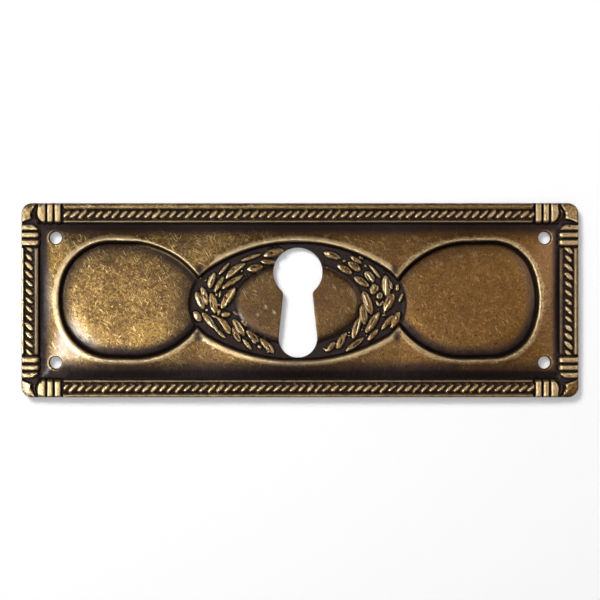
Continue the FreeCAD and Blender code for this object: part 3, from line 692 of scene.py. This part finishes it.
def ropeTree(material):
    tree = bpy.data.node_groups.new("ropeStamp", "GeometryNodeTree")
    face = tree.interface
    face.new_socket("Sheet", in_out="INPUT", socket_type="NodeSocketGeometry")
    for name, value in rope.items():
        kind = "NodeSocketInt" if isinstance(value, int) else "NodeSocketFloat"
        face.new_socket(name, in_out="INPUT", socket_type=kind).default_value = value
    face.new_socket("Sheet", in_out="OUTPUT", socket_type="NodeSocketGeometry")
    make = TreeMaker(tree)
    inputs = make.add("NodeGroupInput")

    def vector(x=0.0, y=0.0, z=0.0):
        return make.add("ShaderNodeCombineXYZ", None, {"X": x, "Y": y, "Z": z})

    def chance(low, high, seed):
        values = {2: low, 3: high, "Seed": inputs.pick("Seed") + seed}
        return make.add("FunctionNodeRandomValue", {"data_type": "FLOAT"}, values).pick(1)

    def straight(half, run, angle):
        # one leg of the rope, turned to its side of the plate
        c, s = round(math.cos(angle)), round(math.sin(angle))
        ends = [(p * c - half * s + plate["stampX"], p * s + half * c + plate["stampY"], 0.0)
                for p in (ropeForm["shift"] - run, run)]
        return make.add("GeometryNodeCurvePrimitiveLine", None, {"Start": ends[0], "End": ends[1]})

    legs = []
    for half, total, leg, turn in ((field["halfY"], plate["halfLength"], longLeg, 0.0),
                                   (field["halfX"], plate["halfWidth"], endLeg, math.pi / 2)):
        middle = half + 0.5 * (leg["ropeFrom"] + leg["ropeTo"])
        run = total - reeds["first"] - ropeForm["endGap"]
        legs += [straight(middle, run, turn), straight(middle, run, turn + math.pi)]
    spots = make.add("GeometryNodeCurveToPoints", {"mode": "LENGTH"}, {
        "Curve": make.add("GeometryNodeJoinGeometry", None, {0: legs}), "Length": inputs.pick("Pitch")})
    along = make.add("FunctionNodeAlignRotationToVector", {"axis": "X"}, {"Vector": spots.pick("Tangent")})
    lean = (inputs.pick("Lean") + chance(-1.0, 1.0, 0) * inputs.pick("Jitter")) * math.radians(1.0)
    leaned = make.add("FunctionNodeRotateRotation", {"rotation_space": "LOCAL"}, {
        "Rotation": along, "Rotate By": make.add("FunctionNodeEulerToRotation", None, {0: vector(z=lean)})})
    ball = make.add("GeometryNodeMeshUVSphere", None, {
        "Segments": ropeForm["segments"], "Rings": ropeForm["rings"], "Radius": 1.0})
    strandSize = vector(inputs.pick("Strand Length") * 0.5, inputs.pick("Strand Width") * 0.5,
                        inputs.pick("Strand Rise"))
    strand = make.add("GeometryNodeTransform", None, {"Geometry": ball, "Scale": strandSize})
    spread = vector(chance(*ropeForm["longs"], 1), chance(*ropeForm["widths"], 2),
                    chance(*ropeForm["rises"], 3))
    strands = make.add("GeometryNodeInstanceOnPoints", None, {
        "Points": spots, "Instance": strand, "Rotation": leaned, "Scale": spread})
    beadSize = vector(inputs.pick("Bead"), inputs.pick("Bead"), ropeForm["beadRise"])
    bead = make.add("GeometryNodeTransform", None, {
        "Geometry": ball, "Translation": ropeForm["beadAt"], "Scale": beadSize})
    beads = make.add("GeometryNodeInstanceOnPoints", None, {
        "Points": spots, "Instance": bead, "Rotation": along, "Scale": spread})
    punches = make.add("GeometryNodeRealizeInstances", None, {
        0: make.add("GeometryNodeJoinGeometry", None, {0: [strands, beads]})})
    punches = make.add("GeometryNodeTransform", None, {
        "Geometry": punches, "Translation": vector(z=inputs.pick("Foot"))})

    place = make.add("ShaderNodeSeparateXYZ", None, {0: make.add("GeometryNodeInputPosition")})
    x, y, z = place.pick("X"), place.pick("Y"), place.pick("Z")
    zone = make.add("GeometryNodeInputNamedAttribute", {"data_type": "FLOAT"}, {"Name": "rope"})
    ray = make.add("GeometryNodeRaycast", None, {
        "Target Geometry": punches, "Source Position": vector(x, y, ropeForm["above"]),
        "Ray Direction": (0.0, 0.0, -1.0), "Ray Length": 20.0})
    struck = make.add("ShaderNodeSeparateXYZ", None,
                      {0: ray.pick("Hit Position")}).pick("Z") * ray.pick("Is Hit")
    struck = make.math("SMOOTH_MIN", struck, inputs.pick("Strand Top"), ropeForm["blend"])
    pressed = z + (make.math("MAXIMUM", z, struck) - z) * zone
    blurred = make.add("GeometryNodeBlurAttribute", {"data_type": "FLOAT"}, {
        "Value": pressed, "Iterations": inputs.pick("Softening"), "Weight": 0.5})
    soft = pressed + (blurred - pressed) * zone
    moved = make.add("GeometryNodeSetPosition", None, {
        "Geometry": inputs.pick("Sheet"), "Position": vector(x, y, soft)})
    solid = make.add("GeometryNodeRealizeInstances", None, {0: moved})
    finished = make.add("GeometryNodeSetMaterial", None, {"Geometry": solid, "Material": material})
    make.add("NodeGroupOutput", None, {0: finished})
    return tree


def colour(text):
    # written as a screen colour, returned in linear light
    values = [int(text[i:i + 2], 16) / 255 for i in (0, 2, 4)]
    return tuple(v / 12.92 if v < 0.04045 else ((v + 0.055) / 1.055) ** 2.4 for v in values) + (1.0,)


# antiqued brass: a dark lacquer rubbed down to the metal on whatever stands proud, with painted shade and
# painted highlights in its colours
brass = {"deep": "2f200c", "body": "58401d", "gold": "806732", "brightRubAndHighlight": "e6d5a6", "scratch": "cdb47a",
         "shadeBrown": "5c3b19", "rub": "958160", "lacquer": "221614", "crevice": "0b0504", "specular": 0.08,
         "coat": 0.42, "coatOnLacquer": 0.045, "roughCoat": 0.2, "roughBody": 0.36, "roughLacquer": 0.5,
         "bumpStrength": 0.9, "bumpDepth": 0.00008, "drawnOut": (0.5, 6.0, 1.0)}
noises = {"patches": (0.16, 4.0, 0.6), "mottle": (0.9, 3.0, 0.6), "speckle": (2.3, 3.0, 0.6),
          "grain": (6.0, 3.0, 0.6), "pits": (1.9, 2.0, 0.5), "scratch": (1.0, 1.0, 0.5)}
# angle, seed, threshold and strength of each set of scratches
scratchSets = ((62.0, 3.0, 0.63, 1.0), (28.0, 17.0, 0.63, 0.9), (-35.0, 31.0, 0.66, 0.8),
               (-75.0, 43.0, 0.65, 0.9))


def antiqueBrass():
    material = bpy.data.materials.new("antiqueBrass")
    material.use_nodes = True
    material.node_tree.nodes.clear()
    make = TreeMaker(material.node_tree)
    coords = make.add("ShaderNodeTexCoord").pick("Object")
    millimetres = make.add("ShaderNodeVectorMath", {"operation": "SCALE"}, {0: coords, "Scale": 1000.0})

    def painted(name):
        return make.add("ShaderNodeAttribute", {"attribute_name": name}).pick("Fac")

    def noise(name, vector=millimetres):
        scale, detail, roughness = noises[name]
        return make.add("ShaderNodeTexNoise", {"noise_dimensions": "3D"}, {
            "Vector": vector, "Scale": scale, "Detail": detail, "Roughness": roughness}).pick("Fac")

    def mapped(value, low, high):
        return make.add("ShaderNodeMapRange", {"interpolation_type": "SMOOTHSTEP"}, {
            "Value": value, "From Min": low, "From Max": high})

    def mix(factor, a, b):
        return make.add("ShaderNodeMix", {"data_type": "RGBA"}, {0: factor, 6: a, 7: b}).pick(2)

    def blend(factor, a, name):
        return mix(factor, a, colour(brass[name]))

    def scratches(angle, seed, low):
        turned = make.add("ShaderNodeMapping", None, {
            "Vector": millimetres, "Rotation": (0.0, 0.0, math.radians(angle)),
            "Location": (seed, seed * 0.7, 0.0)})
        drawn = make.add("ShaderNodeMapping", None, {"Vector": turned, "Scale": brass["drawnOut"]})
        return mapped(noise("scratch", drawn), low, low + 0.08)

    lacquer, rub, crevice, crest = [painted(name) for name in ("lacquer", "rub", "crevice", "crest")]
    along = make.add("ShaderNodeSeparateXYZ", None, {0: millimetres}).pick("X")
    patches, mottle, speckle, grain = [noise(name) for name in ("patches", "mottle", "speckle", "grain")]
    scratch = 0.0
    for angle, seed, low, strength in scratchSets:
        scratch = make.math("MAXIMUM", scratch, scratches(angle, seed, low) * strength)
    scratch = scratch * mapped(mottle + (patches - 0.5) * 0.6, 0.42, 0.58)
    pits = mapped(noise("pits"), 0.35, 0.28)
    # painted light: golden where lit at the left, browner and duller towards the right as painted shade
    shadedRightwards = mapped(along + (patches - 0.5) * 60.0, -45.0, 45.0)
    fine = mapped(mottle * 0.25 + speckle * 0.4 + grain * 0.35, 0.37, 0.63)
    tone = mix(fine, colour(brass["deep"]), colour(brass["body"]))
    golden = mapped(speckle * 0.35 + grain * 0.25 + patches * 0.4, 0.45, 0.64)
    tone = blend(golden * (0.85 - shadedRightwards * 0.6), tone, "gold")
    tone = blend(shadedRightwards * 0.5, tone, "shadeBrown")
    tone = blend(scratch * (0.8 - shadedRightwards * 0.65), tone, "scratch")
    tone = blend(pits * 0.8, tone, "lacquer")
    uneven = (mottle - 0.5) * 0.8 + (speckle - 0.5) * 0.9 + (grain - 0.5) * 0.8
    # rubbed wear on whatever stands proud, together with painted highlights
    wornAndHighlight = mapped(rub * 0.8 + crest * 0.5 + uneven, 0.1, 0.9)
    tone = blend(wornAndHighlight * 0.9, tone, "rub")
    # painted highlights: glints, hairlines, gleams and the left end's band take the palest colour
    tone = blend(mapped(rub, 0.95, 1.5) * 0.9, tone, "brightRubAndHighlight")
    # the lacquer attribute holds the real dark lacquer together with painted shade; both darken the colour
    # here
    stainAndShade = mapped(lacquer + (mottle - 0.5) * 0.7 + (speckle - 0.5) * 0.5, 0.0, 0.95)
    tone = blend(stainAndShade, tone, "lacquer")
    # painted shade: near black in the hollows and along the recess edges, over the dark lacquer there
    base = blend(mapped(crevice + (speckle - 0.5) * 0.2, 0.15, 0.8), tone, "crevice")
    coat = brass["coat"] * (1.0 - shadedRightwards * 0.65)
    coat = coat + stainAndShade * (brass["coatOnLacquer"] - coat)
    coat = coat * (1.0 - mapped(crevice, 0.0, 0.5))
    rough = brass["roughBody"] + (grain - 0.5) * 0.25 + stainAndShade * (brass["roughLacquer"] - brass["roughBody"])
    height = (grain - 0.5) * 0.5 + (speckle - 0.5) * 0.8 + (mottle - 0.5) * 0.8 + scratch * 0.35 - pits * 0.6
    bump = make.add("ShaderNodeBump", None, {
        "Strength": brass["bumpStrength"], "Distance": brass["bumpDepth"], "Height": height})
    shader = make.add("ShaderNodeBsdfPrincipled", None, {
        "Base Color": base, "Metallic": 1.0 - stainAndShade * 0.8, "Roughness": rough, "Normal": bump,
        "Specular IOR Level": brass["specular"], "Coat Weight": coat, "Coat Roughness": brass["roughCoat"]})
    make.add("ShaderNodeOutputMaterial", None, {"Surface": shader})
    return material


def setAttribute(mesh, name, values):
    attribute = mesh.attributes.new(name, "FLOAT", "POINT")
    attribute.data.foreach_set("value", np.asarray(values, np.float32))


def meshPlaces(mesh):
    places = np.empty(len(mesh.vertices) * 3, np.float32)
    mesh.vertices.foreach_get("co", places)
    return places.reshape(-1, 3).astype(float)


patinaAndLight = {"hollowCell": 0.12, "hollowReach": 0.26, "edges": 12, "bandRub": 0.1, "beadRub": 0.15,
          "frameRub": 0.75, "endRubAndHighlight": (1.3, 0.1), "beadStain": 0.3, "bandStain": 0.25, "endShade": 0.35,
          "pinRimDark": 0.9, "pinHighlight": 0.7, "pinRing": 0.33, "ridgeWide": 1.25, "fieldStain": 0.12,
          "cuspShadeDepth": 0.8, "ledgeAt": -0.62, "back": 0.7, "leafShoulder": 0.95, "leafFlank": 0.25,
          "paintedGlint": 1.6, "dent": 0.5}
# how bright each corner block is rubbed, by its side left or right and below or above; rubbed wear with
# painted light, brightest at the lower left and darkest at the lower right
cornerRubsAndLight = {(-1, -1): 0.65, (-1, 1): 0.4, (1, -1): 0.2, (1, 1): 0.45}


def hollowness(x, y, z):
    # how far each point lies under the relief around it, from a map of the surface blurred twice
    cell, edges = patinaAndLight["hollowCell"], patinaAndLight["edges"]
    columns = np.round((x + plate["halfLength"]) / cell).astype(int) + edges
    rows = np.round((y + plate["halfWidth"]) / cell).astype(int) + edges
    shape = (rows.max() + edges + 1, columns.max() + edges + 1)
    total, count = np.zeros(shape), np.zeros(shape)
    np.add.at(total, (rows, columns), z)
    np.add.at(count, (rows, columns), 1)
    heights, filled = total / np.maximum(count, 1), (count > 0).astype(float)
    half = max(1, round(patinaAndLight["hollowReach"] / cell))
    for axis in (0, 1, 0, 1):
        heights = sum(np.roll(heights, shift, axis) for shift in range(-half, half + 1))
        filled = sum(np.roll(filled, shift, axis) for shift in range(-half, half + 1))
    return (heights / np.maximum(filled, 1e-6))[rows, columns] - z


def paintFrame(u, v, z, dFrame):
    left = u < 0
    isRun = np.abs(u) < plate["halfLength"] - reeds["first"]
    isEnd = (np.abs(u) > field["halfX"]) & (np.abs(v) < plate["halfWidth"] - reeds["first"])
    isOuter = isEnd & (dFrame > 3.1)
    isBand = (z > 2.15) & (np.abs(v) > plate["halfWidth"] - 1.2) & isRun
    isBead = (dFrame > 0) & (dFrame < 0.95) & (isEnd | isRun)
    brightRubAndHighlight = np.where(isBand, patinaAndLight["bandRub"], np.where(isBead, patinaAndLight["beadRub"], patinaAndLight["frameRub"]))
    # painted light: the left end's outer band is rubbed bright as a painted highlight, and the right end's is
    # darkened as painted shade
    brightRubAndHighlight = np.where(isOuter, np.where(left, *patinaAndLight["endRubAndHighlight"]), brightRubAndHighlight)
    isCorner = (np.abs(u) > plate["halfLength"] - 2.9) & (np.abs(v) > plate["halfWidth"] - 3.4)
    for (sx, sy), amount in cornerRubsAndLight.items():
        brightRubAndHighlight = np.where(isCorner & (left == (sx < 0)) & ((v > 0) == (sy > 0)), amount, brightRubAndHighlight)
    beads = np.where(isEnd, np.where(left, 0.45, 0.65), patinaAndLight["beadStain"])
    stains = (fade((z - 1.65) / 0.25), np.where(isBead, beads, patinaAndLight["bandStain"] * isBand),
              patinaAndLight["endShade"] * (isOuter & (u > 0)), markShare(u, v, petalPits))
    return np.maximum.reduce(stains), brightRubAndHighlight * smooth((z - 1.8) / 0.15)


def paintField(x, y, u, v, thin):
    left = u < 0
    sd = recessDistance(u, v)
    inX, inY = field["halfX"] - np.abs(u), field["halfY"] - np.abs(v)
    # dark lacquer along the field's edges; the bands at its top and bottom are painted shade
    stainAndShade = np.maximum(fade(inX / np.where(left, 2.6, 1.5)), fade((inY - 0.3) / 2.6))
    stainAndShade = patinaAndLight["fieldStain"] * (u <= 25) + (1 - patinaAndLight["fieldStain"]) * stainAndShade
    foot = np.where(u < 30, 0.8, 0.6) * smooth((-v - 9.8) / 3.4)
    # painted shade in the field's cusps between the egg and middle oval ridges
    cusps = patinaAndLight["cuspShadeDepth"] * markShare(u, v, cuspShade)
    stainAndShade = np.maximum.reduce((stainAndShade, foot, cusps, 0.35 * smooth((v - 11.2) / 1.4)))
    pinHighlight = np.zeros(len(u))
    # painted highlight: a bright ring on each hole's outer side; the rim right at each hole's edge is
    # darkened
    for px, py in pinPlaces:
        out = np.hypot(x - px, y - py) - pins["radius"]
        side = smooth(0.6 + 0.5 * math.copysign(1, px) * (x - px) / (out + pins["radius"]))
        ring = side * hump(out, patinaAndLight["pinRing"], 0.11)
        stainAndShade = np.maximum(stainAndShade, patinaAndLight["pinRimDark"] * hump(out, 0.08, 0.1)) * (1 - 0.8 * ring)
        pinHighlight = np.maximum(pinHighlight, patinaAndLight["pinHighlight"] * ring)
    # the rubbed ridge, made wider and brighter at the left end and round the middle oval as painted light,
    # and thin beside the left egg's upper right
    leftward = fade((u + 44) / 30)
    wide = (patinaAndLight["ridgeWide"] + 0.1 * leftward) * (1 - 0.6 * thin)
    aroundMiddle = smooth((eggsDistance(u, v) - middleDistance(u, v) + 0.5) / 1.5)
    ridge = 0.65 + 0.3 * leftward - 0.1 * smooth((u - 10) / 30) + 0.35 * aroundMiddle
    ridge = ridge * (1 - 0.7 * thin) * smooth((sd + 0.1) / 0.2) * fade((sd - 0.65 * wide) / (0.35 * wide))
    # painted highlights: a bright hairline on the wall's top edge at the left egg's upper right, and a gleam
    # at the right egg's end
    paintedHairline = 1.5 * thin * hump(sd, 0.14, 0.13)
    paintedGleam = 1.4 * (u > 40) * hump(sd, 0.08, 0.12) * np.exp(-((v - 2.4) / 1.7) ** 4)
    return stainAndShade, np.maximum.reduce((ridge, pinHighlight, paintedHairline, paintedGleam))


def paintRecess(u, v, thin, eye):
    # the domes keep dark lacquer along their edges and towards the middle oval, with painted shade low and to
    # the right on the left one and low on the right one
    left = u < 0
    sdEggs, sdMiddle, leaves = eggsDistance(u, v), middleDistance(u, v), wreathHeight(u, v)
    awayX = np.where(left, u + 31, u - 31)
    shadeLowRight = smooth(0.5 + 0.5 * (awayX - v) / np.hypot(awayX, v).clip(1) / 1.414)
    amount = np.where(left, 0.64 + 0.36 * shadeLowRight, 0.42 + 0.44 * smooth(0.5 - v / 14))
    egg = np.maximum(fade((-sdEggs - 0.35) / 0.4), amount * fade((-sdEggs - 0.8) / 2.5))
    # painted highlight: lighter along the ledge beside the left egg's upper right
    egg = egg - 0.7 * thin * hump(sdEggs, patinaAndLight["ledgeAt"], 0.2)
    inner = np.where(left, 0.5, 0.35) * fade((sdMiddle - 0.5) / np.where(left, 6, 3))
    egg = np.maximum.reduce((egg, fade((sdMiddle + 0.1) / 0.4), inner))
    middle = np.maximum(fade((eye + 0.15) / 0.6), 0.36 + 0.42 * fade((eye - 0.1) / 1.3))
    leaf = np.maximum(fade((leaves - 0.06) / 0.14), patinaAndLight["leafFlank"] * smooth((leaves - 0.3) / 0.12))
    isLeaf, inMiddle = leaves > 0.05, sdMiddle < 0
    dent = markShare(u, v, dents)
    stainAndShade = np.where(inMiddle, np.where(isLeaf, leaf, middle), egg) + patinaAndLight["dent"] * dent * inMiddle
    shoulder = patinaAndLight["leafShoulder"] * smooth((leaves - 0.1) / 0.1) * fade((leaves - 0.26) / 0.14)
    rub = np.where(isLeaf & inMiddle, patinaAndLight["leafFlank"] * smooth((leaves - 0.15) / 0.2) + shoulder, 0)
    # painted highlight: a bright line on that ledge
    rub = np.where(sdMiddle > 0, 1.5 * thin * hump(sdEggs, patinaAndLight["ledgeAt"], 0.12), rub)
    return np.clip(stainAndShade, 0, 1), np.clip(rub * (1 - dent) + patinaAndLight["paintedGlint"] * markShare(u, v, paintedGlints), 0, 2)


def paintPatinaAndLight(mesh):
    # where the dark lacquer stays and where handling has rubbed it off, together with painted shade and
    # painted highlights
    x, y, z = meshPlaces(mesh).T
    front = np.arange(len(x)) < frontCount
    hollow = np.zeros(len(x))
    hollow[front] = hollowness(x[front], y[front], z[front])
    u, v = x - plate["stampX"], y - plate["stampY"]
    dFrame = np.maximum(np.abs(u) - field["halfX"], np.abs(v) - field["halfY"])
    sd, thin = recessDistance(u, v), thinSide(u, v)
    sdEggs, sdMiddle = eggsDistance(u, v), middleDistance(u, v)
    eye = -eyeDistance(u - 0.55, v - 0.2)
    zones = [dFrame > 0, sd < -0.05]
    painted = (paintFrame(u, v, z, dFrame), paintRecess(u, v, thin, eye), paintField(x, y, u, v, thin))
    for number, (name, atBack) in enumerate((("lacquer", patinaAndLight["back"]), ("rub", 0.0))):
        onFrame, inRecess, onField = [pair[number] for pair in painted]
        setAttribute(mesh, name, np.where(front, np.select(zones, [onFrame, inRecess], onField), atBack))
    # dark lacquer in the hollows, deepened to near black as painted shade; deepest along the middle oval's
    # ends, round the eye and at the foot of the field
    crevice = smooth((hollow - 0.055) / 0.13)
    crevice = crevice * (1 - 0.6 * smooth((-sdEggs - 0.6) / 0.35) * smooth((sdMiddle - 1.5) / 1.0))
    crevice = np.maximum(crevice, 0.8 * fade((sdMiddle - 0.1) / 0.4) * ((sdMiddle > 0) & (sdEggs < -0.2)))
    # no painted shade on the ledge's highlight
    crevice = crevice * (1 - thin * hump(sdEggs, patinaAndLight["ledgeAt"], 0.2))
    aroundEye = smooth((eye + 0.5) / 0.4) * fade((eye + 0.1) / 0.5)
    aroundEye = aroundEye * ((sdMiddle < 0) & (wreathHeight(u, v) < 0.1))
    foot = smooth((-v - 12.2) / 1.4) * ((sd > 0.5) & (dFrame <= 0) & (u > -44))
    crevice = np.maximum.reduce((crevice, 0.7 * aroundEye, 0.6 * foot))
    setAttribute(mesh, "crevice", np.where(front, crevice, 0.0))
    setAttribute(mesh, "crest", np.where(front, smooth((-hollow - 0.02) / 0.16), 0.0))


def buildPlate(material):
    places = meshPlaces(sheetMesh)
    u, v = places[:, 0] - plate["stampX"], places[:, 1] - plate["stampY"]
    dLong, dEnd = np.abs(v) - field["halfY"], np.abs(u) - field["halfX"]
    runX, runY = plate["halfLength"] - reeds["first"], plate["halfWidth"] - reeds["first"]
    inLong = (dLong > longLeg["ropeFrom"]) & (dLong < longLeg["ropeTo"]) & (np.abs(u) < runX - 0.1)
    inEnd = (dEnd > endLeg["ropeFrom"]) & (dEnd < endLeg["ropeTo"]) & (np.abs(v) < runY - 0.1)
    isFront = np.arange(len(u)) < frontCount
    setAttribute(sheetMesh, "rope", (inLong | inEnd) & isFront)
    sheet = bpy.data.objects.new("escutcheonSheet", sheetMesh)
    bpy.context.scene.collection.objects.link(sheet)
    tree = ropeTree(material)
    stamp = sheet.modifiers.new("ropeStamp", "NODES")
    stamp.node_group = tree
    for item in tree.interface.items_tree:
        if item.in_out == "INPUT" and item.name in rope:
            stamp[item.identifier] = rope[item.name]
    graph = bpy.context.evaluated_depsgraph_get()
    mesh = bpy.data.meshes.new_from_object(sheet.evaluated_get(graph))
    sheet.modifiers.remove(stamp)
    paintPatinaAndLight(mesh)
    places = meshPlaces(mesh) * mm
    mesh.vertices.foreach_set("co", places.astype(np.float32).ravel())
    mesh.attributes.remove(mesh.attributes["rope"])
    mesh.shade_smooth()
    mesh.set_sharp_from_angle(angle=math.radians(60))
    mesh.update()
    bpy.data.objects.remove(sheet)
    skinPlate = bpy.data.objects.new("plateSkin", mesh)
    bpy.context.scene.collection.objects.link(skinPlate)
    return skinPlate


brassMaterial = antiqueBrass()
plateSkin = buildPlate(brassMaterial)
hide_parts("escutcheon_plate")
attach(plateSkin, "root")
print("plate", len(plateSkin.data.vertices), "points", len(plateSkin.data.polygons), "faces")


# floor, light and camera; the metal mirrors the lamps marked for it, and the others light the floor
studio = {"floor": 0.6, "world": (0.14, 0.14, 0.15), "glow": 0.2, "cameraHeight": 0.300,
          "frameWidth": 0.11311}
warm = (1.0, 0.98, 0.95)
lamps = {
    "overhead": {"at": (-0.05, 0.0, 0.62), "size": 0.6, "power": 1.35, "tint": warm, "for": "both"},
    "keyLowerLeft": {"at": (-0.27, -0.15, 0.50), "size": 0.13, "power": 4.1, "tint": warm, "for": "metal"},
    "coolLeft": {"at": (-0.6, 0.05, 0.34), "size": 0.34, "power": 4.6, "tint": (0.88, 0.94, 1.0),
                 "for": "metal"},
    "fillRight": {"at": (0.42, 0.12, 0.46), "size": 0.35, "power": 2.3, "tint": (1.0, 0.97, 0.93),
                  "for": "metal"},
    "upperLeft": {"at": (-0.28, 0.38, 0.56), "size": 0.24, "power": 4.5, "tint": (1.0, 1.0, 1.0),
                  "for": "floor"},
}


def floorMaterial():
    material = bpy.data.materials.new("paleFloor")
    material.use_nodes = True
    tree = material.node_tree
    tree.nodes.clear()
    make = TreeMaker(tree)
    path = make.add("ShaderNodeLightPath")
    seen = make.math("MAXIMUM", path.pick("Is Camera Ray"), make.math(
        "MAXIMUM", path.pick("Is Glossy Ray"), path.pick("Is Transmission Ray")))
    glow = seen * studio["glow"]
    tint = make.add("ShaderNodeCombineColor", None, {0: glow, 1: glow, 2: glow})
    shader = make.add("ShaderNodeBsdfPrincipled", None, {
        "Base Color": (0.8, 0.8, 0.8, 1.0), "Roughness": 1.0, "Specular IOR Level": 0.0,
        "Emission Color": tint, "Emission Strength": 1.0})
    make.add("ShaderNodeOutputMaterial", None, {"Surface": shader})
    return material


def buildSky():
    # white where it is seen, and a dim grey for what it lights
    world = bpy.data.worlds.new("studio")
    world.use_nodes = True
    world.node_tree.nodes.clear()
    make = TreeMaker(world.node_tree)
    seen = make.add("ShaderNodeLightPath").pick("Is Camera Ray")
    red, green, blue = (seen * (1.0 - level) + level for level in studio["world"])
    tint = make.add("ShaderNodeCombineColor", None, {0: red, 1: green, 2: blue})
    background = make.add("ShaderNodeBackground", None, {"Color": tint, "Strength": 1.0})
    make.add("ShaderNodeOutputWorld", None, {"Surface": background})
    bpy.context.scene.world = world


def buildStage():
    half = studio["floor"]
    mesh = bpy.data.meshes.new("floor")
    mesh.from_pydata([(-half, -half, 0), (half, -half, 0), (half, half, 0), (-half, half, 0)], [],
                     [(0, 1, 2, 3)])
    mesh.materials.append(floorMaterial())
    floor = bpy.data.objects.new("floor", mesh)
    bpy.context.scene.collection.objects.link(floor)
    buildSky()
    for name, lamp in lamps.items():
        light = bpy.data.lights.new(name, "AREA")
        light.size = lamp["size"]
        light.energy = lamp["power"]
        light.color = lamp["tint"]
        holder = bpy.data.objects.new(name, light)
        holder.location = lamp["at"]
        holder.rotation_euler = (-Vector(lamp["at"])).to_track_quat("-Z", "Y").to_euler()
        holder.visible_diffuse = lamp["for"] != "metal"
        holder.visible_glossy = lamp["for"] != "floor"
        bpy.context.scene.collection.objects.link(holder)


def buildCamera():
    eye = bpy.data.cameras.new("camera")
    eye.sensor_width = 36.0
    eye.lens = eye.sensor_width * studio["cameraHeight"] / studio["frameWidth"]
    eye.clip_start, eye.clip_end = 0.01, 10.0
    holder = bpy.data.objects.new("camera", eye)
    holder.location = (0.0, 0.00004, studio["cameraHeight"] + 0.0018)
    bpy.context.scene.collection.objects.link(holder)
    bpy.context.scene.camera = holder


buildStage()
buildCamera()
bpy.context.scene.view_settings.view_transform = "Standard"
print("stage ready")
